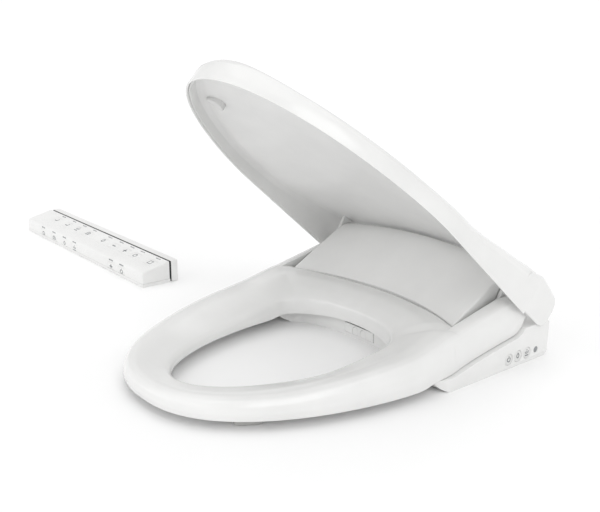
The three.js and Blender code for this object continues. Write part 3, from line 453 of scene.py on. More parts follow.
# ---- cover ---------------------------------------------------------------------------------------
# The cover is the raised white moulding behind the ring. A slope rises from its front edge to a round
# ridge, and a barrel about the hinge line falls from there to the rear.
COVER_HALF, COVER_FRONT_Y, COVER_BOW, COVER_FRONT_Z, COVER_GAP = 160.0, -73.0, 42.0, 65.0, 1.6
BARREL, BARREL_DROP, RIDGE = 74.0, 13.0, 62.0


def cover_front(x):
    """Front edge of the cover in plan: a parabola that runs forward towards the sides."""
    return COVER_FRONT_Y - COVER_BOW * (np.clip(np.abs(x), 0, COVER_HALF) / COVER_HALF) ** 2


def cover_sections(x, inset, bottom):
    """Side sections of the cover at the places x: a straight slope, a quadratic curve over the shoulder,
    and a circular barrel that is smaller towards the sides. All are set in together."""
    ratio = (x / COVER_HALF) ** 2
    r = BARREL - BARREL_DROP * ratio - inset
    ridge_a = np.radians(RIDGE)
    front = np.stack([COVER_FRONT_Y - COVER_BOW * ratio + inset * 1.2,
                      COVER_FRONT_Z + 2 * ratio - inset * 1.3], -1)
    ridge = np.stack([HINGE_Y + r * np.cos(ridge_a), HINGE_Z + r * np.sin(ridge_a)], -1)
    knee_y = HINGE_Y + r * np.cos(ridge_a + np.radians(26))
    slope = (ridge[:, 1] + 3 - front[:, 1]) / (ridge[:, 0] - 9 - front[:, 0])
    knee = np.stack([knee_y, front[:, 1] + slope * (knee_y - front[:, 0])], -1)
    top = ridge + np.stack([np.full(len(x), -9.0), 2.4 - 0.2 * inset], -1)
    f = np.linspace(0, 1, 15)[None, 1:-1, None]
    shoulder = (1 - f) ** 2 * knee[:, None] + 2 * f * (1 - f) * top[:, None] + f ** 2 * ridge[:, None]
    a = np.radians(np.linspace(RIDGE, 0, 41))[None, :]
    barrel = np.stack([HINGE_Y + r[:, None] * np.cos(a), HINGE_Z + r[:, None] * np.sin(a)], -1)
    g = np.linspace(0, 1, 13)[None, :, None]
    ramp = front[:, None] * (1 - g) + knee[:, None] * g
    under = [np.stack([y, np.full(len(x), bottom)], -1)[:, None] for y in (front[:, 0], HINGE_Y + r)]
    flat = np.concatenate([under[0], ramp, shoulder, barrel, under[1]], 1)
    return np.concatenate([np.repeat(x[:, None, None], flat.shape[1], 1), flat], -1)


def cover_solid(name, inset, bottom, rounding):
    """The cover's sections joined across it. Near each end they are set in further along a quarter
    circle, which rounds the end's edge."""
    half = COVER_HALF - inset
    a = np.radians(np.linspace(0, 90, 6))
    end = half - rounding * (1 - np.sin(a))
    middle = np.linspace(-half + rounding + 2, half - rounding - 2, 81)
    x = np.concatenate([-end[::-1], middle, end]) if rounding > 0 else np.linspace(-half, half, 61)
    near = np.clip((np.abs(x) - (half - rounding)) / max(rounding, 1e-6), 0, 1) if rounding > 0 else x * 0
    points = cover_sections(x, inset + rounding * (1 - np.sqrt(1 - near ** 2)), bottom)
    rows, columns = points.shape[:2]
    faces = grid_faces(rows, columns, loop_columns=True)
    faces += [list(range(columns)), list(range((rows - 1) * columns, rows * columns))]
    return mesh_piece(name, points.reshape(-1, 3), faces, polished_white)


cover = cover_solid("base_cover_moulding", 0.0, 20, 2.2)
side_mask = cutter(case_side(GAP), -BASE_HALF - 1, BASE_HALF + 1, 0)
rear_mask = cutter([(0, 0), (80, 0), (80, SHOULDER + GAP), (0, SHOULDER + GAP)], -BASE_HALF, BASE_HALF, 0)
pin_bore = circle(PIN_R + PIN_CLEAR, (HINGE_Y, HINGE_Z))
pin_holes = [cutter(pin_bore, a, b, 0) for a, b in ((-164, -148), (148, 164))]
cut(cover, [cover_solid("cutter", BASE_WALL, 10, 0.0), side_mask, rear_mask, *pin_holes])
eased(cover, 0.5, polished_white, 50)
stand_in(cover, "base", "white_shell", "base_top_cover")

# ---- side buttons --------------------------------------------------------------------------------
# Three grey push buttons and a small smoked lens stand flush in the right side of the case. Their
# marks are pad-printed in grey ink, about 0.02 mm thick, drawn thicker so that they show.
# Pad-printing ink: matt mid grey.
printed_ink = moulded("grey_pad_print_ink", "#7d8082", "#747779", 0.6, 0.5, 0.004, 0.05)
# Smoked acrylic over a lamp: dark and glassy.
smoked_acrylic = moulded("smoked_acrylic_polished", "#8b8e90", "#7f8385", 0.12, 3.0, 0.002, 0.02, coat=0.4)


def ring_mark(radius, line, start=0.0, end=360.0, steps=36):
    """A round line of a mark: its outer and inner edges as a closed strip between two angles."""
    closed = end - start >= 360
    a = np.radians(np.linspace(start, end, steps, endpoint=not closed))
    both = np.stack([np.stack([np.cos(a), np.sin(a)], 1) * r for r in (radius, radius - line)])
    return both, closed


def bar_mark(width, tall, centre=(0, 0), turn=0.0):
    """A short straight line of a mark, as a rectangle turned about its centre."""
    a = np.radians(turn)
    corners = rectangle(width, tall) @ np.array([(np.cos(a), np.sin(a)), (-np.sin(a), np.cos(a))]) + centre
    return np.stack([corners[[0, 1]], corners[[3, 2]]]), False


def marks(name, strips, to_place, thick, material):
    """Flat strips given as two edges each, raised by thick and placed by to_place(u, v, height)."""
    points, faces, start = [], [], 0
    for (outer, inner), closed in strips:
        n = len(outer)
        loop = np.stack([outer, inner, inner, outer], 1)
        height = np.tile([thick, thick, 0.0, 0.0], (n, 1))
        points.append(to_place(loop[..., 0], loop[..., 1], height).reshape(-1, 3))
        faces += (np.array(grid_faces(n, 4, closed, True)) + start).tolist()
        if not closed:
            faces += [[start, start + 1, start + 2, start + 3],
                      [start + 4 * n - 4 + k for k in (3, 2, 1, 0)]]
        start += 4 * n
    return mesh_piece(name, np.concatenate(points), faces, material, 30)


SIGNS = {
    "drop": [ring_mark(2.2, 1.0, 150, 390), bar_mark(3.0, 1.0, (-1.0, 1.9), 58),
             bar_mark(3.0, 1.0, (1.0, 1.9), -58)],
    "jet": [bar_mark(5.6, 1.1, (0, -2.6)), bar_mark(3.2, 1.0, (0, 0.4), 90),
            bar_mark(2.6, 1.0, (-2.2, 0.6), 116), bar_mark(2.6, 1.0, (2.2, 0.6), 64),
            bar_mark(1.2, 1.0, (0, 3.2), 90)],
    "power": [ring_mark(2.7, 1.0, 125, 415), bar_mark(2.6, 1.0, (0, 2.2), 90)],
    "ring": [ring_mark(2.7, 1.0)],
    "square": [bar_mark(5.6, 0.8, (0, 2.4)), bar_mark(5.6, 0.8, (0, -2.4)), bar_mark(5.6, 0.8, (2.4, 0), 90),
               bar_mark(5.6, 0.8, (-2.4, 0), 90)],
    "wave": [ring_mark(1.5, 0.9, 0, 180), ring_mark(3.4, 1.0, 0, 180), bar_mark(6.8, 1.0, (0, -1.2))],
    "plus": [bar_mark(5.2, 1.3), bar_mark(5.2, 1.3, (0, 0), 90)],
    "minus": [bar_mark(5.4, 1.5)],
    "tick": [bar_mark(5.0, 1.3, (0.4, -1.6)), bar_mark(3.6, 1.3, (2.6, 0.2), 90)],
}


def side_cap(name, y, radius, material):
    """A round cap that ends 0.1 mm inside the case's right side."""
    return slab(name, circle(radius, (y, BUTTON_Z), 64), BASE_HALF - 6, BASE_HALF - 0.1, 0.5, material, 0)


for n, word in enumerate(("power", "drop", "jet")):
    button, y = f"side_button_{n + 1}", BUTTON_Y[n]
    stand_in(side_cap(f"{button}_cap", y, BUTTON_R[n], grey_abs), button, "soft_white", button)
    sign = marks(f"{button}_print", SIGNS[word],
                 lambda u, v, h: np.stack([BASE_HALF - 0.12 + h, y + 1.35 * u, BUTTON_Z + 1.35 * v], -1),
                 0.1, printed_ink)
    stand_in(sign, button, "dark_plastic")
lens_cap = side_cap("side_lens", BUTTON_Y[3], BUTTON_R[3], smoked_acrylic)
stand_in(lens_cap, "base", "dark_plastic", "side_indicator_lens")

# ---- heated ring ---------------------------------------------------------------------------------
# A hollow ring of glossy polypropylene in two halves, with a foil heater stuck under its top skin. Its
# section is a broad rail outside, a dished slope, and a crisp edge at the opening.
RING_HALF, RING_FRONT, RING_WIDE_Y, OPEN_FRONT = BASE_HALF - 2.8, -470.0, -190.0, -420.0
EAR_OUT, EAR_IN = 190.0, 168.0
SKIN = 2.6
UNDER_LINE = np.array([(-196, 12.8), (-176, 17.5), (-145, 19), (-99, 29), (-55, 36), (-30, 39.6)])
RAIL_LINE = np.array([(-470, 35), (-360, 40), (-200, 55), (-125, 72), (-40, 90.5)])


def evened(values, width):
    """Values round a closed loop, averaged with a Gaussian window of the given width in samples."""
    reach = int(3 * width)
    window = np.exp(-0.5 * (np.arange(-reach, reach + 1) / width) ** 2)
    window /= window.sum()
    values = np.asarray(values, float)
    wrapped = np.concatenate([values[-reach:], values, values[:reach]])
    if values.ndim == 1:
        return np.convolve(wrapped, window, "valid")
    return np.stack([np.convolve(wrapped[:, k], window, "valid") for k in range(values.shape[1])], 1)


def smooth_step(v, low, high):
    """The cubic 3t^2 - 2t^3 of a value's place between two limits."""
    t = np.clip((v - low) / (high - low), 0, 1)
    return t * t * (3 - 2 * t)


def ring_stations():
    """Outer and inner edge points once round the ring. In front both are superellipses of one angle.
    Behind, the outer edge follows the cover's front edge and the inner one a superellipse."""
    a = np.radians(np.linspace(90, -90, 241))
    outer = np.stack([RING_HALF * bent(np.sin(a), 2 / 2.4),
                      RING_WIDE_Y - (RING_WIDE_Y - RING_FRONT) * bent(np.cos(a), 2 / 1.75)], 1)
    inner = np.stack([OPEN_HALF * bent(np.sin(a), 2 / 2.05),
                      RING_WIDE_Y - (RING_WIDE_Y - OPEN_FRONT) * bent(np.cos(a), 2 / 1.9)], 1)
    corner_y = COVER_FRONT_Y - COVER_BOW * (EAR_OUT / COVER_HALF) ** 2 + 8
    f = np.arange(1, 31)[:, None] / 30
    side = np.array([(RING_HALF, RING_WIDE_Y)]) * (1 - f) + np.array([(EAR_OUT, corner_y)]) * f
    x = np.linspace(-COVER_HALF - COVER_GAP, COVER_HALF + COVER_GAP, 141)
    back = np.stack([x, cover_front(x) - COVER_GAP], 1)
    rear = np.concatenate([side * (-1, 1), back, side[::-1]])
    b = np.arctan2(rear[:, 0] / EAR_OUT, (rear[:, 1] - RING_WIDE_Y) / (COVER_FRONT_Y - RING_WIDE_Y))
    rear_in = np.stack([OPEN_HALF * bent(np.sin(b), 2 / 2.2),
                        RING_WIDE_Y + (OPEN_REAR - RING_WIDE_Y) * bent(np.cos(b), 2 / 2.2)], 1)
    return np.concatenate([outer, rear]), np.concatenate([inner, rear_in])


def ring_shell(name, inset_list, material):
    """The ring as one closed skin. At each station, a section of eleven (inset, height) points is
    rounded by averaging along it, for the outside and, set in by the skin, for the inside."""
    outer, inner = ring_stations()
    x, y = outer.T
    side = np.clip(np.abs(x) / EAR_OUT, 0, 1)
    back = smooth_step(y, RING_WIDE_Y, RING_WIDE_Y + 80)
    rail = evened(np.interp(y, *RAIL_LINE.T), 5)
    crest = rail * (1 - back) + (COVER_FRONT_Z - 1 + (rail - COVER_FRONT_Z + 1) * side ** 3) * back
    lip = np.minimum(27 + 20 * smooth_step(inner[:, 1], -300, OPEN_REAR), crest - 6)
    low = evened(np.interp(y, *UNDER_LINE.T), 3)
    low_in = evened(np.interp(inner[:, 1], *UNDER_LINE.T), 3)
    crest, lip = evened(crest, 4), evened(lip, 4)
    outer, inner = evened(outer, 1.2), evened(inner, 2)
    wide = np.linalg.norm(inner - outer, axis=1)
    tall = crest - low
    tight = back * (1 - side ** 8)
    loops = []
    for t in inset_list:
        mix = lambda share: crest + (lip - crest) * share
        section = np.stack([np.stack(np.broadcast_arrays(i, h), -1) for i, h in [
            (1.5 + t, low), (t, low + tall * 0.3), (1.5 - tight + t, low + tall * 0.68 - t * 0.5),
            (6 - 4 * tight + t * 0.6, crest - 2.2 + 1.7 * tight - t),
            (np.minimum(16 - 6 * tight, wide * 0.26), crest - t),
            (wide * 0.42, mix(0.16) - t), (wide * 0.7, mix(0.6) - t), (wide - 7, lip + 0.8 - t),
            (wide - 1.6 - t * 0.8, lip - 3.5 - t * 0.6), (wide - t, (lip - 4) * 0.4 + (low_in + 2) * 0.6),
            (wide - 1 - t, low_in + 2)]], 1)
        knots, fine = np.linspace(0, 10, 71), np.linspace(0, 10, 201)
        window = np.exp(-0.5 * ((knots[:, None] - fine[None, :]) / 0.2) ** 2)
        hats = np.maximum(0, 1 - np.abs(fine[:, None] - np.arange(11)[None, :]))
        blend = (window / window.sum(1, keepdims=True)) @ hats
        blend[0], blend[-1] = hats[0], hats[-1]
        loops.append(np.einsum("ks,nsc->nkc", blend, section))
    loop = np.concatenate([loops[0], loops[1][:, ::-1]], 1)
    share = loop[..., 0] / wide[:, None]
    plan = outer[:, None] * (1 - share[..., None]) + inner[:, None] * share[..., None]
    points = np.concatenate([plan, loop[..., 1:]], -1)
    rows, columns = points.shape[:2]
    return mesh_piece(name, points.reshape(-1, 3), grid_faces(rows, columns, True, True), material, 45)


ring = ring_shell("heated_seat_ring", (0.0, SKIN), polished_white)
stand_in(ring, "seat", "white_shell", "seat_ring_upper")


def hinge_ear(name, side):
    """A hinge ear as one section carried back along Y. The section has the rail's outer side and an
    upright inner side; its top follows the rail and its bottom the ring's underside, and both close
    in along a circle about the hinge line."""
    y = np.concatenate([np.linspace(-142, HINGE_Y, 60)[:-1],
                        HINGE_Y + EAR_RADIUS * np.sin(np.radians(np.linspace(0, 90, 31)))])
    round_half = np.sqrt(np.clip(EAR_RADIUS ** 2 - np.clip(y - HINGE_Y, 0, None) ** 2, 0, None))
    top = np.minimum(np.interp(y, *RAIL_LINE.T), HINGE_Z + round_half)
    under = np.interp(y, *UNDER_LINE.T)
    low = np.where(y > HINGE_Y, np.maximum(under, HINGE_Z - round_half), under)
    top = top - 0.6 * (1 - smooth_step(y, -142, -126))
    outside = np.where(y < -124, RING_HALF - (RING_HALF - EAR_OUT) * (y - RING_WIDE_Y) / 66, EAR_OUT)
    inset, share, drop = rounded([(1.5, 0, 0), (0, 15, 0), (1.0, 34, 0), (6, 50, -2.2), (16, 50, 0),
                                  (22, 50, -0.2), (22, 0, 0)], [1.5, 6, 6, 5, 4, 1.4, 1.4]).T
    tall = (top - low)[:, None]
    z = low[:, None] + share / 50 * tall + drop * np.minimum(1, tall / 20)
    x = side * (outside[:, None] - inset)
    points = np.stack(np.broadcast_arrays(x, y[:, None], z), -1)
    rows, columns = points.shape[:2]
    faces = grid_faces(rows, columns, loop_columns=True) + [list(range(columns))]
    return mesh_piece(name, points.reshape(-1, 3), faces, polished_white, 45)


for word, side in (("left", -1), ("right", 1)):
    stand_in(hinge_ear(f"seat_ear_{word}", side), "seat", "white_shell")

dress(["seat_ring_lower"], grey_abs)
# Etched aluminium foil on film: bright, a little uneven in patches of about 4 mm.
heater_foil = moulded("aluminium_foil_heater", "#cfd1d2", "#b9bcbe", 0.3, 4.0, 0.02, 0.12, metallic=1.0)
dress(["seat_heater_film"], heater_foil)

# ---- ring bumpers --------------------------------------------------------------------------------
# Four soft pads are pushed into the underside of the ring and rest on the bowl. Each is elastomer with
# rounded edges.
BUMPER_SHARE, BUMPER_LONG, BUMPER_WIDE = 0.36, 34.0, 16.0
outer_edge, inner_edge = ring_stations()
for n, station in enumerate((70, 170, 0, 240)):
    across = inner_edge[station] - outer_edge[station]
    centre = outer_edge[station] + across * BUMPER_SHARE
    a = np.arctan2(-across[1], -across[0]) + np.pi / 2
    turn = np.array([(np.cos(a), np.sin(a)), (-np.sin(a), np.cos(a))])
    plan = rounded(rectangle(BUMPER_LONG, BUMPER_WIDE), 6) @ turn + centre
    pad = slab(f"ring_bumper_{n + 1}", plan, 0, 12.4, 2.0, grey_elastomer)
    stand_in(pad, "seat", "grey_rubber", f"seat_bumper_{n + 1}")

# ---- lid -----------------------------------------------------------------------------------------
# The lid is two thin mouldings, one in the other: a glossy outer shell with a rolled rim, and a
# satin inner panel with its hinge arms. It stands half open on its damper.
LID_HALF, LID_TILT, PIVOT_U, PIVOT_H = BASE_HALF + 3.2, np.radians(41), 455.8, -12.0
LID_REAR, LID_CROWN, LID_WIDE_U = PIVOT_U + 2.2, BARREL - 3.5, 256.0
PANEL_SKIN, LID_INSET, LID_ROUNDING = 2.0, 0.15, 12.0
LID_EDGE = np.array([(0, 33), (5, 31), (19, 28.5), (42, 26.5), (100, 26), (PIVOT_U - 250, 26.5),
                     (PIVOT_U - 156, 31), (PIVOT_U - 120, 37), (PIVOT_U - 86, 43.5), (PIVOT_U - 46, 50),
                     (PIVOT_U - 16, 56), (LID_REAR, 57)])
LID_MIDDLE = np.array([(0, 33), (60, 38), (150, 48), (300, 58), (LID_REAR, LID_CROWN)])

# ABS with a satin skin: softer light than the outer shell, a little greyer.
satin_white = moulded("white_abs_satin", "#e3e3e2", "#dddddc", 0.34, 1.8, 0.006, 0.04)


def soft_line(line, u, width):
    """A broken line read at u through a Gaussian window, so that its corners are round. Past its ends
    it goes on as straight as its last stretch."""
    steps = np.linspace(-2.5, 2.5, 21)
    weight = np.exp(-0.5 * steps ** 2)
    spread = u[..., None] + steps * width
    first, last = line[1] - line[0], line[-1] - line[-2]
    longer = np.array([line[0] - first / first[0] * 1000, *line, line[-1] + last / last[0] * 1000])
    value = np.interp(spread, *longer.T)
    return (value * weight).sum(-1) / weight.sum()


def lid_place(x, u, h):
    """From distance u along the rim and height h above it to the model's frame, turned by the tilt."""
    c, s = np.cos(LID_TILT), np.sin(LID_TILT)
    du, dh = u - PIVOT_U, h - PIVOT_H
    return np.stack(np.broadcast_arrays(x, HINGE_Y + du * c + dh * s, HINGE_Z - du * s + dh * c), -1)


def lid_outline():
    """The rim in plan: straight sides, and a superellipse round the tip."""
    straight = np.linspace(LID_REAR, LID_WIDE_U, 61)[:-1]
    a = np.radians(np.linspace(90, -90, 201))
    turn = np.stack([LID_HALF * bent(np.sin(a), 2 / 2.08),
                     LID_WIDE_U - LID_WIDE_U * bent(np.cos(a), 2 / 1.62)], 1)
    right = np.stack([np.full(60, LID_HALF), straight], 1)
    return np.concatenate([right, turn, right[::-1] * (-1, 1)])


def lid_surface(t, rim_h, is_outside):
    """The lid's surface set in by t. Its rim turns in round a 0.9 mm edge. It rises from the rim by a
    power curve over LID_ROUNDING, and from there to the middle line as 1 - (1 - s)^2."""
    x, u = lid_outline().T
    target = np.maximum(u, 200)
    wide = np.hypot(x, target - u)
    edge = soft_line(LID_EDGE, u, 7.0) - t
    columns = []
    for inward, rise in ((0.9, 0.0), (0.45, 0.12), (0.12, 0.45), (0.0, 0.9)):
        f = (t + inward * (1 if is_outside else -1)) / wide
        columns.append(np.stack([x * (1 - f), u + (target - u) * f, np.full(len(x), rim_h + rise)], -1))
    for inset in (0, 0.3, 0.8, 1.5, 2.5, 3.7, 5.2, 7, 9.2, LID_ROUNDING):
        rise = 1 - (1 - inset / LID_ROUNDING) ** 2.6
        f = (inset + t) / wide
        columns.append(np.stack([x * (1 - f), u + (target - u) * f, edge * (0.72 + 0.28 * rise)], -1))
    for share in np.linspace(0, 1, 29)[1:]:
        f0 = (LID_ROUNDING + t) / wide
        f = f0 + (1 - f0) * share
        pu = u + (target - u) * f
        middle = soft_line(LID_MIDDLE, pu, 12.0) - t
        columns.append(np.stack([x * (1 - f), pu, edge + (middle - edge) * (1 - (1 - share) ** 2)], -1))
    grid = np.stack(columns, 1)
    return lid_place(grid[..., 0], grid[..., 1], grid[..., 2])


def shell_between(name, outside, inside, material):
    """Two equal grids that run from the rim to the middle line, joined by strips along the rim and
    along their first and last rows."""
    rows, columns = outside.shape[:2]
    faces = np.array(grid_faces(rows, columns))
    size = rows * columns
    rim, row = np.arange(rows) * columns, np.arange(columns)
    strips = [np.stack([e[:-1], e[1:], e[1:] + size, e[:-1] + size], 1)
              for e in (rim, row, row + (rows - 1) * columns)]
    faces = np.concatenate([faces, faces[:, ::-1] + size, *strips])
    points = np.concatenate([outside.reshape(-1, 3), inside.reshape(-1, 3)])
    return mesh_piece(name, points, faces.tolist(), material)


lid_shell = shell_between("lid_outer_moulding", lid_surface(LID_INSET, 0.0, True),
                          lid_surface(SKIN, 0.0, False), polished_white)
stand_in(lid_shell, "lid", "white_shell", "lid_outer_shell")
CHEEK = [(-26, 3), (44, 4), (53, 7), (58, 18), (58, 37), (53, 48), (26, 53), (0, 56), (-26, 48)]
for word, side in (("left", -1), ("right", 1)):
    u, h = rounded(CHEEK, 8, 5).T
    outline = lid_place(0, PIVOT_U + u, h)[:, 1:]
    a, b = sorted((side * (LID_HALF - SKIN + 0.2), side * (LID_HALF - LID_INSET - 0.04)))
    cheek = slab(f"lid_cheek_{word}", outline, a, b, 0.9, polished_white, 0)
    stand_in(cheek, "lid", "white_shell")

inner_t = SKIN + GAP
panel = shell_between("lid_inner_moulding", lid_surface(inner_t, 3.0, True),
                      lid_surface(inner_t + PANEL_SKIN, 3.0, False), satin_white)
stand_in(panel, "lid", "soft_white", "lid_inner_panel")
# Each arm stands between the cover and an ear. ARM_RISE is how far up the panel's rise, from its edge
# to the middle line, the arm meets the panel.
ARM_IN, ARM_OUT = COVER_HALF + 1.5, EAR_IN - 1.4
rise_wide = LID_HALF - LID_ROUNDING - inner_t - PANEL_SKIN
ARM_RISE = 1 - (1 - (rise_wide - (ARM_IN + ARM_OUT) / 2) / rise_wide) ** 2
for word, side in (("left", -1), ("right", 1)):
    foot = arc(PIVOT_U, PIVOT_H, 12, 180, 360, 40)
    top_u = PIVOT_U + np.array([1.0, -15.0, -27.0])
    edge, middle = np.interp(top_u, *LID_EDGE.T), np.interp(top_u, *LID_MIDDLE.T)
    top = np.stack([top_u, edge + (middle - edge) * ARM_RISE - inner_t - PANEL_SKIN + 0.7], 1)
    flat = np.concatenate([foot, top])
    outline = lid_place(0, flat[:, 0], flat[:, 1])[:, 1:]
    a, b = sorted((side * ARM_IN, side * ARM_OUT))
    arm = slab(f"lid_arm_{word}", outline, a, b, 0.7, satin_white, 0)
    cut(arm, [cutter(pin_bore, a - 2, b + 2, 0)])
    eased(arm, 0.2, satin_white, 60)
    stand_in(arm, "lid", "soft_white")

# Half-moon pads of off-white elastomer are pressed into the panel near its tip.
MOON_R, MOON_TURN, MOON_X, MOON_U = 13.0, 0.6, 108.0, 88.0
for word, side in (("left", -1), ("right", 1)):
    moon = rounded(np.concatenate([arc(0, 0, MOON_R, -95, 95, 30), [(-3.5, 12.6), (-3.5, -12.6)]]), 1.0, 2)
    c, s = np.cos(MOON_TURN), side * np.sin(MOON_TURN)
    moon = moon @ np.array([(c, s), (-s, c)]) * (-side, 1) + (side * MOON_X, MOON_U)
    pad = slab(f"lid_bumper_{word}_pad", moon, 17, 26, 1.6, soft_white_elastomer)
    moved(pad, lid_place)
    stand_in(pad, "lid", "grey_rubber", f"lid_bumper_{word}")

# ---- remote --------------------------------------------------------------------------------------
# A long white wedge of ABS in two halves, with rows of flush grey keys in its sloping top and its
# front face. It hangs on a slim holder behind it.
REMOTE_RIGHT, REMOTE_LONG, REMOTE_FRONT, REMOTE_DEPTH = -BASE_HALF - 195.7, 475.0, -250.0, 53.0
REMOTE_LEFT = REMOTE_RIGHT - REMOTE_LONG
FRONT_Z, BACK_Z, REMOTE_WALL = 25.5, 38.0, 2.2
TOP_KEY_AT, FRONT_KEY_AT = 0.58, 0.48
KEY_WIDE, KEY_DEEP, KEY_TALL, KEY_THICK = 24.0, 15.0, 12.0, 2.4
TOP_KEYS = [0.155, 0.257, 0.353, 0.445, 0.578, 0.67, 0.755, 0.833, 0.945]
FRONT_KEYS = [0.16, 0.265, 0.364, 0.456, 0.765, 0.846]
RISE = np.arctan2(BACK_Z - FRONT_Z, REMOTE_DEPTH)

# ABS from a lightly etched tool: white with a soft sheen.
etched_white = moulded("white_abs_fine_etch", "#e9e9e8", "#e4e4e3", 0.3, 0.9, 0.008, 0.05)


def remote_profile(t):
    """Side outline of the remote set in by t: an upright front, a sloping top and an upright back."""
    front, back = REMOTE_FRONT + t, REMOTE_FRONT + REMOTE_DEPTH - t
    return [(front, t), (front, FRONT_Z - t * 1.1), (back, BACK_Z - t * 1.1), (back, t)]


def key_place(fraction, on_top):
    """Returns a function from a key's own (across, up, height) to the model's frame."""
    x = REMOTE_LEFT + fraction * REMOTE_LONG
    if on_top:
        depth = REMOTE_DEPTH * TOP_KEY_AT
        y0, z0 = REMOTE_FRONT + depth, FRONT_Z + depth * np.tan(RISE)
        return lambda u, v, h: np.stack([x + u, y0 + v * np.cos(RISE) - h * np.sin(RISE),
                                         z0 + v * np.sin(RISE) + h * np.cos(RISE)], -1)
    return lambda u, v, h: np.stack([x + u, REMOTE_FRONT - h, FRONT_Z * FRONT_KEY_AT + v], -1)


def key_tile(name, place, deep, grow, low, high, rounding, material):
    """A rounded tile built flat, from low to high along its own height, and put in its place."""
    plan = rounded(rectangle(KEY_WIDE + 2 * grow, deep + 2 * grow), 2.5, 5)
    tile = slab(name, plan, low, high, rounding, material)
    moved(tile, place)
    return tile


case = slab("remote_case", rounded(remote_profile(0), [2, 4, 5, 2]), REMOTE_LEFT, REMOTE_RIGHT, 2.5,
            etched_white, 0)
inside = cutter(remote_profile(REMOTE_WALL), REMOTE_LEFT + REMOTE_WALL, REMOTE_RIGHT - REMOTE_WALL, 0)
floor_cut = cutter(rectangle(600, 80, (REMOTE_LEFT + 237, REMOTE_FRONT + 26)), -1, 6)
keys = [(f, True, KEY_DEEP) for f in TOP_KEYS] + [(f, False, KEY_TALL) for f in FRONT_KEYS]
pockets = [key_tile("cutter", key_place(f, up), deep, 0.35, -4, 4, 0, etched_white) for f, up, deep in keys]
cut(case, [inside, floor_cut, *pockets])
eased(case, 0.35, etched_white, 50)
stand_in(case, "remote", "white_shell", "remote_case_upper")
dress(["remote_case_lower", "remote_battery_door"], etched_white)

TOP_SIGNS = ["tick", "tick", "jet", "wave", "drop", "minus", "plus", "ring", "square"]
FRONT_SIGNS = ["ring", "wave", "drop", "jet", "plus", "power"]
bodies = [f"remote_top_key_{n + 1}" for n in range(len(TOP_KEYS))]
bodies += [f"remote_front_key_{n + 1}" for n in range(len(FRONT_KEYS))]
for (f, up, deep), body, word in zip(keys, bodies, TOP_SIGNS + FRONT_SIGNS):
    place = key_place(f, up)
    tile = key_tile(f"{body}_cap", place, deep, 0, -KEY_THICK, 0, 0.5, etched_white)
    stand_in(tile, body, "soft_white", body)
    tall, lower = (1.7, 0) if up else (1.4, 1.6)
    printed = marks(f"{body}_print", SIGNS[word],
                    lambda u, v, h: place(2.0 * u, tall * v - lower, h - 0.06), 0.1, printed_ink)
    stand_in(printed, body, "dark_plastic")
# A label of three short bars stands for the words printed above each key.
label_bars = [bar_mark(5.5, 2.2, (-3.6, 0)), bar_mark(3.2, 2.2, (2.0, 0)), bar_mark(3.0, 2.2, (6.2, 0))]
for n, (f, up, deep) in enumerate(keys):
    place, above = key_place(f, up), 15.5 if up else deep / 2 + 4.0
    label = marks(f"remote_label_{n + 1}", label_bars,
                  lambda u, v, h: place(u, v + above, h - 0.06), 0.1, printed_ink)
    stand_in(label, "remote", "dark_plastic")

# ---- holder --------------------------------------------------------------------------------------
# A slim ABS bracket behind the remote, screwed to the wall. A thin black plate in the gap between the
# remote and the bracket is painted shadow: it stands for the shade that falls in that gap.
HOLDER_Y, HOLDER_THICK, SHADOW_PLATE_Y, SHADOW_PLATE_THICK = -187.5, 13.0, -194.6, 1.4
remote_middle = REMOTE_LEFT + REMOTE_LONG / 2
holder_plan = rounded(rectangle(REMOTE_LONG, HOLDER_THICK, (remote_middle, HOLDER_Y)), 3)
holder = slab("remote_holder", holder_plan, 0, BACK_Z - 1, 1.2, etched_white)
stand_in(holder, "base", "soft_white", "remote_wall_holder")
# Painted shadow: a black plate that darkens the gap between the remote and the holder.
shadow_plate_plan = rectangle(REMOTE_LONG - 3, SHADOW_PLATE_THICK, (remote_middle, SHADOW_PLATE_Y))
shadow_plate = slab("holder_gap_shadow_plate", shadow_plate_plan, 1, BACK_Z - 2, 0.3, black_abs_and_gap_shadow)
stand_in(shadow_plate, "base", "dark_plastic")

# ---- studio --------------------------------------------------------------------------------------
# A wide pale floor under a large soft top light, with a softbox at the right, a low one at the front
# that fills the open lid, and a white surround that is brightest near the horizon. The camera looks
# down on the seat's front right from 0.46 m above the floor.
FLOOR_HALF = 150.0
floor_paint = bpy.data.materials.new("pale_matt_floor_paint")
floor_paint.use_nodes = True
paint = floor_paint.node_tree
spot = add_node(paint, "ShaderNodeTexCoord").outputs["Object"]
cloud = add_node(paint, "ShaderNodeTexNoise", {"Scale": 3.0, "Detail": 2.0}, {"Vector": spot})
shade = add_node(paint, "ShaderNodeMix", {"data_type": "RGBA"}, {0: cloud.outputs["Fac"]})
shade.inputs[6].default_value, shade.inputs[7].default_value = linear("#f7f7f7"), linear("#fafafa")
paint.links.new(shade.outputs[2], paint.nodes["Principled BSDF"].inputs["Base Color"])
paint.nodes["Principled BSDF"].inputs["Roughness"].default_value = 0.9
paint.nodes["Principled BSDF"].inputs["Specular IOR Level"].default_value = 0.2
floor = bpy.data.meshes.new("floor")
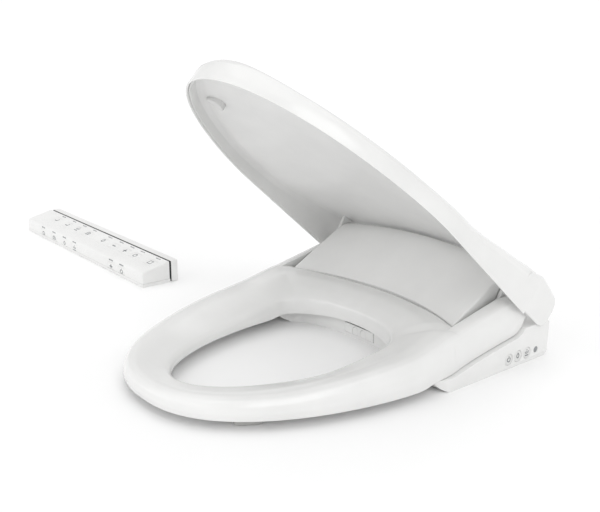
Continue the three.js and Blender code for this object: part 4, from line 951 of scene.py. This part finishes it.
floor.from_pydata([(*corner, 0) for corner in rectangle(2 * FLOOR_HALF, 2 * FLOOR_HALF)], [], [(0, 1, 2, 3)])
floor.materials.append(floor_paint)
floor_object = bpy.data.objects.new("floor", floor)
bpy.context.scene.collection.objects.link(floor_object)


def soft_sun(name, towards, spread, strength):
    """A distant light in the given direction, as wide in the sky as spread degrees."""
    data = bpy.data.lights.new(name, "SUN")
    data.energy, data.angle = strength, np.radians(spread)
    lamp = bpy.data.objects.new(name, data)
    lamp.rotation_euler = Vector(towards).to_track_quat("Z", "Y").to_euler()
    bpy.context.scene.collection.objects.link(lamp)


soft_sun("right_softbox", (0.75, -0.25, 0.62), 40, 0.7)
soft_sun("top_softbox", (-0.1, 0.15, 1.0), 80, 0.88)
soft_sun("front_softbox", (-0.35, -1.0, 0.3), 70, 0.72)
world = bpy.data.worlds.new("white_surround")
bpy.context.scene.world = world
world.use_nodes = True
sky = world.node_tree
height = add_node(sky, "ShaderNodeSeparateXYZ", None,
                  {"Vector": add_node(sky, "ShaderNodeTexCoord").outputs["Generated"]}).outputs["Z"]
glow = add_node(sky, "ShaderNodeMapRange", {"From Min": 0.02, "From Max": 0.4, "To Min": 1.05, "To Max": 0.6},
                {"Value": height})
sky.links.new(glow.outputs["Result"], sky.nodes["Background"].inputs["Strength"])
sky.nodes["Background"].inputs["Color"].default_value = (1, 1, 1, 1)
bpy.context.scene.view_settings.view_transform = "Standard"

CAMERA, AIM, ROLL = Vector((0.8218, -0.9052, 0.4558)), Vector((-0.2454, -0.0318, 0.05)), np.radians(0.46)
lens = bpy.data.cameras.new("camera")
lens.lens, lens.sensor_width, lens.sensor_fit = 51.52, 36.0, "HORIZONTAL"
lens.clip_start, lens.clip_end = 0.05, 400
camera = bpy.data.objects.new("camera", lens)
camera.location = CAMERA
facing = (AIM - CAMERA).to_track_quat("-Z", "Y").to_matrix()
camera.rotation_euler = (facing @ Matrix.Rotation(ROLL, 3, "Z")).to_euler()
bpy.context.scene.collection.objects.link(camera)
bpy.context.scene.camera = camera
